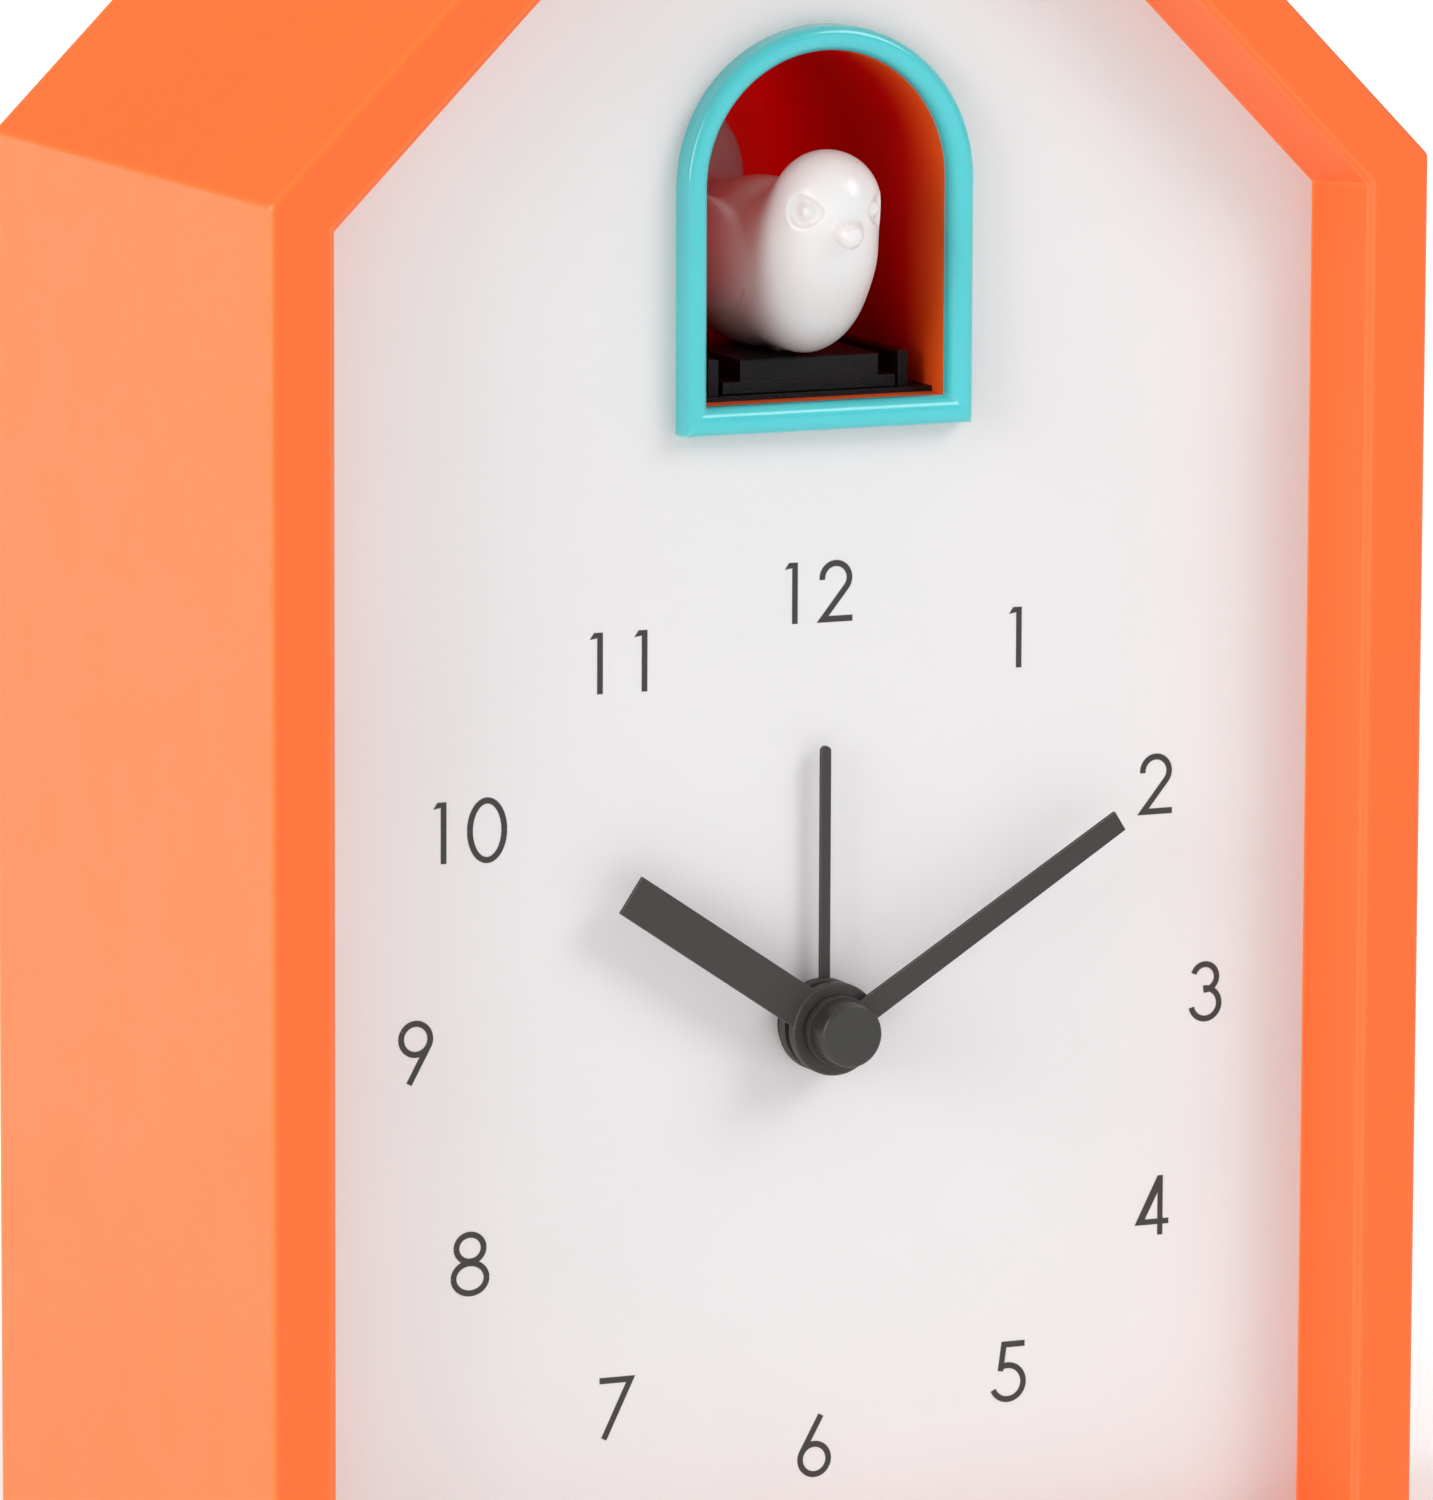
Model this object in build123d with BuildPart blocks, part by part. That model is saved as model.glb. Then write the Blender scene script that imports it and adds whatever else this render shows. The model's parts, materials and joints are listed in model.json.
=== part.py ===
"""Table cuckoo alarm clock: a house-shaped case with a recessed dial and a bird behind an arched window.

Frame: +Z up, the front faces -Y, and the origin is on the table under the middle of the case.
"""

import os
from math import acos, atan, cos, degrees, pi, radians, sin, sqrt, tan

from build123d import *

os.makedirs("parts", exist_ok=True)

# ---------------------------------------------------------------- driving dimensions, in millimetres

# Case
case_width = 120.0
case_depth = 72.0
wall_height = 145.0  # from the table to the eaves; the roof slopes at 45 degrees above them
wall = 2.5
rim_front_width = 6.4  # the front rim at its face
rim_rear_width = 7.8  # and at the dial, after the reveal's draft
dial_recess = 9.6
rim_skin = 2.4  # face of the rim in front of its cored groove
reveal_wall = 2.8
outer_radius = 0.9
front_radius = 0.7
rim_chamfer = 0.5
foot_proud = 1.0
foot_sunk = 1.0
foot_radius = 4.5
foot_inset = 12.0
foot_edge = 0.4
weld = 0.5  # how far a rib or tab runs into the wall that it grows from

# Dial and its fixings
dial_thickness = 2.0
dial_clearance = 0.2
hand_axis_height = 63.0
dial_boss_radius = 2.6
dial_boss_height = 4.0
dial_boss_floor = 0.8  # what is left of the dial in front of a boss's blind hole
dial_pad_inset = 1.7  # from the inside of the case's wall to the middle of a dial screw
dial_pad_radius = 1.9
dial_screw_radius = 0.8
dial_screw_head = 1.5
dial_screw_bite = 5.0
dial_pad_heights = (40.0, 110.0)
slope_pad_x = 30.0
screw_end_gap = 0.5
boss_hole_depth = 12.0

# Window, its trim and the chamber behind it
window_half_width = 12.6
window_sill = 123.1
arch_centre = 143.9
trim_width = 2.4
trim_sill_width = 2.7  # of the bottom bar
trim_proud = 2.8
trim_lip = 2.0
trim_radius = 0.9
trim_inner_radius = 1.3  # where the trim turns into the window
sleeve_wall = 1.2
sleeve_clearance = 0.1
chamber_wall = 1.5
chamber_depth = 40.0  # from the dial's face to the back of the chamber
ear_radius = 3.0
ear_thickness = 1.5
ear_gap = 0.4
ear_above_sill = 4.0
ear_below_arch = 3.0
screw_past_boss = 0.8

# Bird, carriage and track
bird_travel = 12.0
track_thickness = 0.5
track_front_gap = 1.6  # from the dial's face back to the track
rail_gap = 9.4  # half the distance between the rails
rail_wall = 1.0
rail_height = 3.4
rail_front_gap = 1.0  # from the track's front to the rails
slide_clearance = 0.1
carriage_side_clearance = 0.4
carriage_length = 32.5
carriage_base = 1.1
carriage_top = 2.1
carriage_top_half_width = 7.2
slot_clearance = 0.3
carriage_front_gap = 0.8  # from the track's front to the carriage's
carriage_edge = 0.25
rail_edge = 0.2
bird_behind_front = 7.0  # from the carriage's front to the screw that holds the bird
head_forward = 10.9
head_above_deck = 15.0
head_radius = 5.2
beak_length = 1.2
beak_root_radius = 1.5
beak_tip_radius = 0.4
beak_below_head = 2.3
bird_screw_bite = 5.0

# Bird drive
drive_module = 0.6
pinion_teeth = 12
rack_width = 3.0
rack_x = 5.5
rack_length = 17.0
rack_overhang = 2.5  # rack in front of the pinion's axis, with the bird in
rack_drop = 0.4  # from the chamber's floor to the rack's pitch line
pinion_behind_front = 16.5  # from the carriage's front to the pinion's axis
drive_shaft_radius = 1.0
shaft_chamfer = 0.2
train_module = 0.5
drive_teeth = 32
drive_width = 2.5
motor_teeth = 10
motor_angle = -40.0
motor_radius = 6.0
motor_length = 15.0
motor_cap_length = 2.4
motor_flat = 1.0  # how much each flat takes off the can's radius
motor_sheet = 0.6
motor_nose_radius = 2.4
motor_nose_length = 1.5
motor_end_radius = 1.8
motor_tag_depth = 1.6
motor_shaft_radius = 0.75
shaft_overhang = 0.8
frame_wall = 2.0
frame_drop = 19.0
frame_overhang = 0.9  # past the chamber's side
frame_before_pinion = 6.0
frame_behind_pinion = 18.0
frame_tab_length = 6.0
frame_tab_half_width = 4.0
motor_tail_room = 6.0
gear_window_circle = 4.6

# Quartz movement
movement_size = 56.0
movement_depth = 16.0
movement_wall = 1.2
front_shell_depth = 8.0
nose_radius = 4.0
nose_gap = 0.4  # the nose ends this far behind the dial's face
arbor_radius = 0.8
hour_pipe_radius = 1.5
alarm_pipe_radius = 2.2
running_clearance = 0.05
press_clearance = 0.01
motion_module = 0.4
cannon_teeth = 12
motion_teeth = 36
hour_pinion_teeth = 10
hour_teeth = 40
alarm_module = 0.5
alarm_teeth = 32
alarm_set_teeth = 16
step_module = 0.3
centre_teeth = 50
step_teeth = 10
set_shaft_radius = 1.0
pivot_depth = 0.5
bearing_length = 1.5
bearing_radius = 2.4
collar_radius = 1.6
pivot_end_gap = 0.1
wheel_gap = 0.6
stator_half_length = 15.0
stator_half_height = 3.4
stator_arm = 4.0
stator_thickness = 1.0
stator_wheel_hole = 8.2
rotor_hole = 2.4
coil_above_rotor = 10.0
coil_length = 18.0
coil_radius = 4.0
coil_flange = 0.8
core_half = 1.0
mesh_margin = 0.4  # a pinion is this much longer than the wheel that it drives
wheel_thickness = 1.2
gear_addendum = 0.8
gear_dedendum = 1.05
gear_backlash = 0.08
pressure_angle = radians(25)

# Hands
alarm_hand_length = 26.5
alarm_hand_width = 1.0
hour_hand_length = 25.7
hour_hand_width = 4.1
minute_hand_length = 34.8
minute_hand_width = 2.45
minute_hand_tip_width = 2.1
hour_hand_angle = -56.0  # clockwise from twelve, seen from the front
minute_hand_angle = 58.0
hand_thickness = 0.5
alarm_hub_radius = 4.5
hour_hub_radius = 4.5
minute_hub_radius = 3.4
cap_radius = 3.1
cap_length = 2.6
cap_hole = 1.4
cap_edge = 0.35
hub_edge = 0.15
hub_step = 0.2  # how far a pipe ends behind its hub's front
minute_hub_length = 0.8
hand_behind_hub = (0.7, 0.6)  # from the alarm hub's and the hour hub's front to the blade's back
wheel_window_circle = 4.4
alarm_hub_proud = 2.2  # the hubs' front faces, in front of the dial
hour_hub_proud = 4.6
minute_hub_proud = 5.8
hub_length = 1.1

# Back cover and what is behind it
cover_recess = 1.2
cover_thickness = 2.4
cover_clearance = 0.2
cover_boss_gap = 2.1  # from the inside of the case's wall to the middle of a cover screw
back_screw_bite = 10.0
cover_screw_sunk = 1.1
cover_boss_radius = 2.8
knob_radius = 6.5
knob_length = 6.0
knob_gap = 0.5
knob_pocket_depth = 6.9
knob_pocket_margin = 4.8
knob_pocket_wall = 2.0
knob_edge = 0.8
knob_grooves = 20
knob_groove_radius = 0.7
knob_groove_out = 0.35  # the grooves' centres lie this far outside the knob
knob_face = 1.0  # what is left of the knob behind the shaft's end
battery_radius = 7.1
battery_length = 49.2
battery_nub = 1.3
battery_gap = 0.8
battery_box_length = 58.0
battery_box_bottom = 10.0
battery_box_wall = 1.5
battery_floor_gap = 0.3
contact_thickness = 0.4
contact_reach = 3.0
contact_width = 8.0
contact_size = 9.0
spring_height = 6.0
nub_radius = 2.7
cell_edge = 0.5
door_gap = 0.3
door_pin_radius = 0.8
door_pin_length = 1.5
door_notch = (12.0, 4.5)
door_notch_depth = 0.8
door_grooves = 4
door_groove_pitch = 2.0
door_groove_length = 18.0
door_groove_depth = 0.4
speaker_radius = 18.0
speaker_height = 152.0
speaker_flange = 1.4
speaker_depth = 10.0
speaker_hole_radius = 1.0
speaker_rings = ((4.2, 6), (8.4, 12), (12.6, 18))  # radius of each ring of holes, and how many
speaker_screws_count = 3
speaker_screw_out = 3.0
speaker_boss_radius = 2.4
speaker_boss_gap = 3.0
speaker_screw_head = 3.4
magnet_radius = 8.0
magnet_length = 4.0
basket_wall = 0.8
basket_rim = 2.6
cone_wall = 0.4
board_width = 70.0
board_height = 30.0
board_thickness = 1.6
board_standoff = 8.0
board_centre = 103.0
board_boss_radius = 2.6
board_boss_inset = 4.0
board_corner = 1.5
board_screw_bite = 6.0
chip_radius = 5.5
chip_height = 1.5
capacitor_radius = 2.5
capacitor_height = 7.0
capacitor_place = (13.0, 5.0)  # from the board's middle, across and up
crystal_radius = 1.5
crystal_length = 7.0
crystal_place = (-20.0, -8.0)
socket_size = (10.0, 6.0)
socket_place = (10.0, -9.0)
button_x = -24.0
button_radius = 4.0
button_travel = 0.8
switch_x = 24.0
switch_travel = 4.0
lever_width = 3.0
lever_proud = 0.7
lever_edge = 0.3
switch_pocket = (16.0, 8.0)
switch_pocket_depth = 1.0
switch_half_x = 6.0
switch_half_z = 2.8
switch_depth = 4.0
switch_slot_depth = 2.0
button_proud = 0.9
button_edge = 0.5
button_flange = 1.0
button_flange_out = 1.2
contact_block_half = 3.0
contact_block_depth = 3.4
contact_block_floor = 1.4
stem_radius = 1.5
stem_gap = 0.3

# Screws
screw_radius = 1.0
screw_head_radius = 1.9
screw_head_height = 1.3
screw_clearance = 0.05
head_clearance = 0.2
cross_length = 2.2
cross_width = 0.5
cross_depth = 0.7

# ---------------------------------------------------------------- places worked out from them

case_front = -case_depth / 2
case_back = case_depth / 2
case_base = foot_proud
half_width = case_width / 2
roof_peak = wall_height + half_width
reveal_draft = degrees(atan((rim_rear_width - rim_front_width) / dial_recess))
dial_face = case_front + dial_recess
dial_back = dial_face + dial_thickness
cover_boss_inset = wall + cover_boss_gap
cover_face = case_back - cover_recess
cover_inside = cover_face - cover_thickness
chamber_back = dial_face + chamber_depth
chamber_half_width = window_half_width + chamber_wall
chamber_floor = window_sill - chamber_wall
track_top = window_sill + track_thickness
carriage_bottom = track_top + slide_clearance
carriage_step = carriage_bottom + carriage_base
carriage_deck = carriage_step + carriage_top
carriage_front = dial_face + track_front_gap + carriage_front_gap
carriage_back = carriage_front + carriage_length
pinion_depth = carriage_front + pinion_behind_front
movement_front_y = dial_back
movement_back_y = dial_back + movement_depth
boss_top = dial_back + dial_boss_height
screw_hole = screw_radius + screw_clearance
sleeve_room = sleeve_wall + sleeve_clearance  # what the hole round the chamber's sleeve adds
alarm_hub_front = dial_face - alarm_hub_proud
hour_hub_front = dial_face - hour_hub_proud
minute_hub_front = dial_face - minute_hub_proud
battery_spacing = 2 * battery_radius + battery_gap
motion_distance = motion_module * (cannon_teeth + motion_teeth) / 2
hour_module = 2 * motion_distance / (hour_pinion_teeth + hour_teeth)
alarm_distance = alarm_module * (alarm_teeth + alarm_set_teeth) / 2
step_distance = step_module * (centre_teeth + step_teeth) / 2
pinion_radius = drive_module * pinion_teeth / 2
motor_distance = train_module * (drive_teeth + motor_teeth) / 2
pocket_floor = cover_face - knob_pocket_depth  # outer face of the knob pocket's floor
knob_front = pocket_floor + knob_gap
knob_back = knob_front + knob_length


# ---------------------------------------------------------------- shapes that repeat


def facing_front(y, x=0.0, z=0.0):
    """Plane at depth y that faces the front, with X across and Z up."""
    return Plane((x, y, z), x_dir=(1, 0, 0), z_dir=(0, -1, 0))


def facing_back(y, x=0.0, z=0.0):
    """Plane at depth y that faces the back."""
    return Plane((x, y, z), x_dir=(-1, 0, 0), z_dir=(0, 1, 0))


def facing_right(x, y=0.0, z=0.0):
    """Plane at x that faces +X, with Y across and Z up."""
    return Plane((x, y, z), x_dir=(0, 1, 0), z_dir=(1, 0, 0))


def disc(x, z, y_front, y_back, radius, mode=Mode.ADD):
    """Cylinder along the depth, from y_front back to y_back."""
    with Locations(facing_front(y_front, x, z)):
        Cylinder(radius, y_back - y_front, align=(Align.CENTER, Align.CENTER, Align.MAX), mode=mode)


def rod(y, z, x_left, x_right, radius, mode=Mode.ADD):
    """Cylinder across the width, from x_left to x_right."""
    with Locations(facing_right(x_left, y, z)):
        Cylinder(radius, x_right - x_left, align=(Align.CENTER, Align.CENTER, Align.MIN), mode=mode)


def block(x_span, y_span, z_span, mode=Mode.ADD):
    """Box that fills these three spans."""
    spans = (x_span, y_span, z_span)
    with Locations(tuple((low + high) / 2 for low, high in spans)):
        Box(*(high - low for low, high in spans), mode=mode)


def house(inset, bottom=case_base):
    """Outline of the case, this far inside its outer faces."""
    side = half_width - inset
    eaves = wall_height - inset * (sqrt(2) - 1)
    base = bottom + inset
    with BuildSketch() as outline:
        with BuildLine():
            Polyline((-side, base), (side, base), (side, eaves), (0, eaves + side), (-side, eaves), close=True)
        make_face()
    return outline.sketch


def arch(half, bottom):
    """Outline of an arch: straight sides up from its bottom edge to a half-round head."""
    with BuildSketch() as outline:
        with Locations((0, arch_centre)):
            Circle(half)
        with Locations((0, (bottom + arch_centre) / 2)):
            Rectangle(2 * half, arch_centre - bottom)
    return outline.sketch


def involute(angle):
    return tan(angle) - angle


def gear(teeth, module, tooth_direction=0.0):
    """Outline of an involute gear with a tooth pointing this way, in degrees."""
    pitch_radius = teeth * module / 2
    base_radius = pitch_radius * cos(pressure_angle)
    tip_radius = pitch_radius + gear_addendum * module
    root_radius = pitch_radius - gear_dedendum * module
    half_pitch_angle = pi / (2 * teeth) - gear_backlash / 2 / pitch_radius
    flank_start = max(base_radius, root_radius)
    flank_radii = [flank_start + (tip_radius - flank_start) * step / 3 for step in range(4)]
    flank = [(root_radius, half_pitch_angle + involute(pressure_angle))] if base_radius > root_radius else []
    for radius in flank_radii:
        roll = involute(acos(base_radius / radius))
        flank.append((radius, half_pitch_angle + involute(pressure_angle) - roll))
    outline_points = []
    for tooth in range(teeth):
        centre = radians(tooth_direction) + 2 * pi * tooth / teeth
        sides = [(radius, -angle) for radius, angle in flank]
        sides += [(radius, angle) for radius, angle in flank[::-1]]
        for radius, angle in sides:
            outline_points.append((radius * cos(centre + angle), radius * sin(centre + angle)))
    with BuildSketch() as outline:
        with BuildLine():
            Polyline(*outline_points, close=True)
        make_face()
    return outline.sketch


def set_of_screws(heads, length, shank=screw_radius, head=screw_head_radius):
    """One cross-head screw on each of these planes, with its head on the plane's outer side."""
    with BuildPart() as one:
        Cylinder(shank, length, align=(Align.CENTER, Align.CENTER, Align.MAX))
        chamfer(one.edges().group_by(Axis.Z)[0], 0.4 * shank)
        Cylinder(head, screw_head_height, align=(Align.CENTER, Align.CENTER, Align.MIN))
        fillet(one.edges().group_by(Axis.Z)[-1], 0.45 * screw_head_height)
        with Locations((0, 0, screw_head_height)):
            top = (Align.CENTER, Align.CENTER, Align.MAX)
            Box(cross_length, cross_width, cross_depth, align=top, mode=Mode.SUBTRACT)
            Box(cross_width, cross_length, cross_depth, align=top, mode=Mode.SUBTRACT)
    with BuildPart() as group:
        with Locations(*heads):
            add(one.part)
    return group.part


# ---------------------------------------------------------------- case

# Five bosses along the walls take the back cover's screws: four at the corners and one under the ridge.
boss_side = half_width - cover_boss_inset
boss_places = [(side * boss_side, case_base + cover_boss_inset) for side in (-1, 1)]
boss_places += [(side * boss_side, wall_height - cover_boss_inset * (sqrt(2) - 1)) for side in (-1, 1)]
boss_places.append((0, roof_peak - cover_boss_inset * sqrt(2)))

# Screws through the dial's edge go into pads in the rim's groove.
pad_inset = wall + dial_pad_inset
dial_screw_hole = dial_screw_radius + screw_clearance
pad_side = half_width - pad_inset
slope_pad_z = roof_peak - pad_inset * sqrt(2) - slope_pad_x
pad_places = [(side * pad_side, height) for side in (-1, 1) for height in dial_pad_heights]
pad_places += [(side * slope_pad_x, slope_pad_z) for side in (-1, 1)]
foot_places = [(x, y) for x in (foot_inset - half_width, half_width - foot_inset)
               for y in (case_front + foot_inset, case_back - foot_inset)]

with BuildPart() as case_shell:
    with BuildSketch(facing_front(case_front)):
        add(house(0))
    extrude(amount=-case_depth)
    fillet(case_shell.edges().filter_by(Axis.Y), outer_radius)
    fillet(case_shell.faces().sort_by(Axis.Y)[0].edges(), front_radius)
    with BuildSketch(facing_front(dial_face)):
        add(house(wall))
    extrude(amount=-(case_back - dial_face), mode=Mode.SUBTRACT)
    with BuildSketch(facing_front(case_front)):
        add(house(rim_front_width))
    extrude(amount=-dial_recess, taper=reveal_draft, mode=Mode.SUBTRACT)
    chamfer(case_shell.faces().sort_by(Axis.Y)[0].inner_wires().edges(), rim_chamfer)
    with BuildSketch(facing_front(dial_face)):
        add(house(wall))
        add(house(rim_rear_width - reveal_wall), mode=Mode.SUBTRACT)
    extrude(amount=dial_recess - rim_skin, mode=Mode.SUBTRACT)
    for x, z in pad_places:
        disc(x, z, case_front + rim_skin, dial_face, dial_pad_radius)
        disc(x, z, dial_face - dial_screw_bite, dial_face, dial_screw_hole, Mode.SUBTRACT)
    for x, z in boss_places:
        disc(x, z, dial_face, cover_inside, cover_boss_radius)
        disc(x, z, cover_inside - boss_hole_depth, cover_inside, screw_hole, Mode.SUBTRACT)
    with Locations(*[(x, y, case_base) for x, y in foot_places]):
        Cylinder(foot_radius, foot_sunk, align=(Align.CENTER, Align.CENTER, Align.MIN), mode=Mode.SUBTRACT)
case_shell.part.label = "case_shell"
export_step(case_shell.part, "parts/case_shell.step")

with BuildPart() as rubber_feet:
    with Locations(*[(x, y, 0) for x, y in foot_places]):
        Cylinder(foot_radius - press_clearance, foot_proud + foot_sunk,
                 align=(Align.CENTER, Align.CENTER, Align.MIN))
    fillet(rubber_feet.edges().group_by(Axis.Z)[0], foot_edge)
rubber_feet.part.label = "rubber_feet"
export_step(rubber_feet.part, "parts/rubber_feet.step")

# ---------------------------------------------------------------- dial

# The chamber hangs on four bosses beside the window, and the movement on two beside its housing.
chamber_ear_x = chamber_half_width + ear_radius + ear_gap
chamber_ear_heights = (window_sill + ear_above_sill, arch_centre - ear_below_arch)
chamber_ears = [(side * chamber_ear_x, height) for side in (-1, 1) for height in chamber_ear_heights]
movement_ear_x = movement_size / 2 + ear_radius + ear_gap
movement_ears = [(side * movement_ear_x, hand_axis_height) for side in (-1, 1)]

with BuildPart() as dial_plate:
    with BuildSketch(facing_front(dial_face)):
        add(house(wall + dial_clearance))
        add(arch(window_half_width + sleeve_room, window_sill - sleeve_room), mode=Mode.SUBTRACT)
        with Locations((0, hand_axis_height)):
            Circle(nose_radius + sleeve_clearance, mode=Mode.SUBTRACT)
        with Locations(*boss_places):
            Circle(cover_boss_radius + dial_clearance, mode=Mode.SUBTRACT)
        with Locations(*pad_places):
            Circle(dial_screw_hole, mode=Mode.SUBTRACT)
    extrude(amount=-dial_thickness)
    for x, z in chamber_ears + movement_ears:
        disc(x, z, dial_back, boss_top, dial_boss_radius)
        disc(x, z, dial_face + dial_boss_floor, boss_top, screw_hole, Mode.SUBTRACT)
dial_plate.part.label = "dial_plate"
export_step(dial_plate.part, "parts/dial_plate.step")

dial_screw_planes = [facing_back(dial_back, x, z) for x, z in pad_places]
dial_screw_length = dial_thickness + dial_screw_bite - screw_end_gap
dial_screws = set_of_screws(dial_screw_planes, dial_screw_length, dial_screw_radius, dial_screw_head)
dial_screws.label = "dial_screws"
export_step(dial_screws, "parts/dial_screws.step")

trim_outer = window_half_width + trim_width
with BuildPart() as window_trim:
    with BuildSketch(facing_front(dial_face)):
        add(arch(trim_outer, window_sill - trim_sill_width))
        add(arch(window_half_width, window_sill), mode=Mode.SUBTRACT)
    extrude(amount=trim_proud)
    trim_front = window_trim.faces().sort_by(Axis.Y)[0]
    fillet(trim_front.outer_wire().edges(), trim_radius)
    fillet(window_trim.faces().sort_by(Axis.Y)[0].inner_wires()[0].edges(), trim_inner_radius)
    with BuildSketch(facing_front(dial_face)):
        add(arch(window_half_width + sleeve_room, window_sill - sleeve_room))
    extrude(amount=trim_proud - trim_lip, mode=Mode.SUBTRACT)
window_trim.part.label = "window_trim"
export_step(window_trim.part, "parts/window_trim.step")

# ---------------------------------------------------------------- bird chamber

slot_half = rack_width / 2 + slot_clearance
rack_front = pinion_depth - rack_overhang
rack_back = rack_front + rack_length
slot_front = rack_front - bird_travel - slot_clearance
slot_back = rack_back + slot_clearance
sleeve_front = dial_face - trim_proud + trim_lip + sleeve_clearance

frame_right = chamber_half_width + frame_overhang
motor_right = frame_right - frame_wall
motor_left = motor_right - motor_length
frame_left = motor_left - motor_tail_room
frame_back = pinion_depth + frame_behind_pinion
frame_screw_places = [(frame_left - frame_tab_length / 2, frame_back - 2 * frame_tab_half_width),
                      (motor_right - frame_tab_length / 2, frame_back - 2 * frame_tab_half_width + 1)]

with BuildPart() as bird_chamber:
    with BuildSketch(facing_front(dial_back)):
        add(arch(chamber_half_width, chamber_floor))
    extrude(amount=-(chamber_back + chamber_wall - dial_back))
    with BuildSketch(facing_front(sleeve_front)):
        add(arch(window_half_width + sleeve_wall, window_sill - sleeve_wall))
    extrude(amount=-(dial_back - sleeve_front))
    for x, z in chamber_ears:
        side = 1 if x > 0 else -1
        disc(x, z, boss_top, boss_top + ear_thickness, ear_radius)
        reach = sorted((side * (chamber_half_width - weld), x))
        block(reach, (boss_top, boss_top + ear_thickness), (z - ear_radius, z + ear_radius))
        disc(x, z, boss_top, boss_top + ear_thickness, screw_hole, Mode.SUBTRACT)
    with BuildSketch(facing_front(sleeve_front)):
        add(arch(window_half_width, window_sill))
    extrude(amount=-(chamber_back - sleeve_front), mode=Mode.SUBTRACT)
    block((rack_x - slot_half, rack_x + slot_half), (slot_front, slot_back), (chamber_floor, window_sill),
          Mode.SUBTRACT)
    with Locations(*[(x, y, chamber_floor) for x, y in frame_screw_places]):
        Cylinder(screw_hole, chamber_wall, align=(Align.CENTER, Align.CENTER, Align.MIN), mode=Mode.SUBTRACT)
bird_chamber.part.label = "bird_chamber"
export_step(bird_chamber.part, "parts/bird_chamber.step")

ear_screw_planes = [facing_back(boss_top + ear_thickness, x, z) for x, z in chamber_ears]
chamber_screws = set_of_screws(ear_screw_planes, ear_thickness + dial_boss_height + screw_past_boss)
chamber_screws.label = "chamber_screws"
export_step(chamber_screws, "parts/chamber_screws.step")

track_front = dial_face + track_front_gap
track_back = chamber_back - slot_clearance
with BuildPart() as track_plate:
    track_half = window_half_width - sleeve_clearance
    block((-track_half, track_half), (track_front, track_back), (window_sill, track_top))
    for side in (-1, 1):
        rail = sorted((side * rail_gap, side * (rail_gap + rail_wall)))
        block(rail, (track_front + rail_front_gap, track_back), (track_top, track_top + rail_height))
    fillet(track_plate.edges().filter_by(Axis.Y).group_by(Axis.Z)[-1], rail_edge)
    block((rack_x - slot_half, rack_x + slot_half), (slot_front, slot_back), (window_sill, track_top),
          Mode.SUBTRACT)
track_plate.part.label = "track_plate"
export_step(track_plate.part, "parts/track_plate.step")

# ---------------------------------------------------------------- carriage and bird

rack_pitch_line = chamber_floor - rack_drop
pinion_height = rack_pitch_line - pinion_radius
rack_tip = rack_pitch_line - gear_addendum * drive_module
rack_root = rack_pitch_line + gear_dedendum * drive_module
tooth_pitch = pi * drive_module
bird_y = carriage_front + bird_behind_front
bird_screw_recess = screw_head_height + head_clearance
carriage_half = rail_gap - carriage_side_clearance


def rack_teeth():
    """Outline of the rack's teeth, in Y and Z, with a gap right over the pinion's axis."""
    rise = tan(pressure_angle)
    half_tooth = tooth_pitch / 4 - gear_backlash / 2
    root_half = half_tooth + gear_dedendum * drive_module * rise
    tip_half = half_tooth - gear_addendum * drive_module * rise
    first = -int((pinion_depth - rack_front) / tooth_pitch)
    last = int((rack_back - pinion_depth) / tooth_pitch) - 1
    with BuildSketch() as outline:
        for tooth in range(first, last + 1):
            middle = pinion_depth + (tooth + 0.5) * tooth_pitch
            with BuildLine():
                Polyline((middle - root_half, rack_root), (middle - tip_half, rack_tip),
                         (middle + tip_half, rack_tip), (middle + root_half, rack_root), close=True)
            make_face()
    return outline.sketch


with BuildPart() as carriage:
    block((-carriage_half, carriage_half), (carriage_front, carriage_back), (carriage_bottom, carriage_step))
    block((-carriage_top_half_width, carriage_top_half_width), (carriage_front, carriage_back),
          (carriage_step, carriage_deck))
    fillet(carriage.edges().filter_by(Axis.X).group_by(Axis.Z)[-1], carriage_edge)
    block((rack_x - rack_width / 2, rack_x + rack_width / 2), (rack_front, rack_back),
          (rack_root, carriage_bottom))
    with BuildSketch(facing_right(rack_x - rack_width / 2)):
        add(rack_teeth())
    extrude(amount=rack_width)
    with Locations((0, bird_y, carriage_bottom)):
        Cylinder(screw_head_radius + head_clearance, bird_screw_recess,
                 align=(Align.CENTER, Align.CENTER, Align.MIN), mode=Mode.SUBTRACT)
        Cylinder(screw_hole, carriage_deck - carriage_bottom,
                 align=(Align.CENTER, Align.CENTER, Align.MIN), mode=Mode.SUBTRACT)
carriage.part.label = "carriage"
export_step(carriage.part, "parts/carriage.step")

# The bird's body and tail are one loft through upright ovals: (distance behind the bird's seat, height of
# the oval's middle above the deck, half width, half height).
body_ovals = [
    (-13.6, 9.1, 2.0, 3.0),
    (-11.6, 9.4, 4.4, 6.6),
    (-7.0, 8.8, 6.3, 8.9),
    (0.0, 8.6, 7.2, 8.9),
    (6.0, 8.3, 7.3, 8.6),
    (12.5, 8.8, 6.4, 6.6),
    (18.0, 11.6, 5.2, 4.6),
    (22.0, 16.6, 4.9, 3.6),
    (24.6, 19.6, 3.4, 2.4),
]
head_y = bird_y - head_forward
head_height = carriage_deck + head_above_deck
beak_root_y = head_y - head_radius + beak_tip_radius

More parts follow.
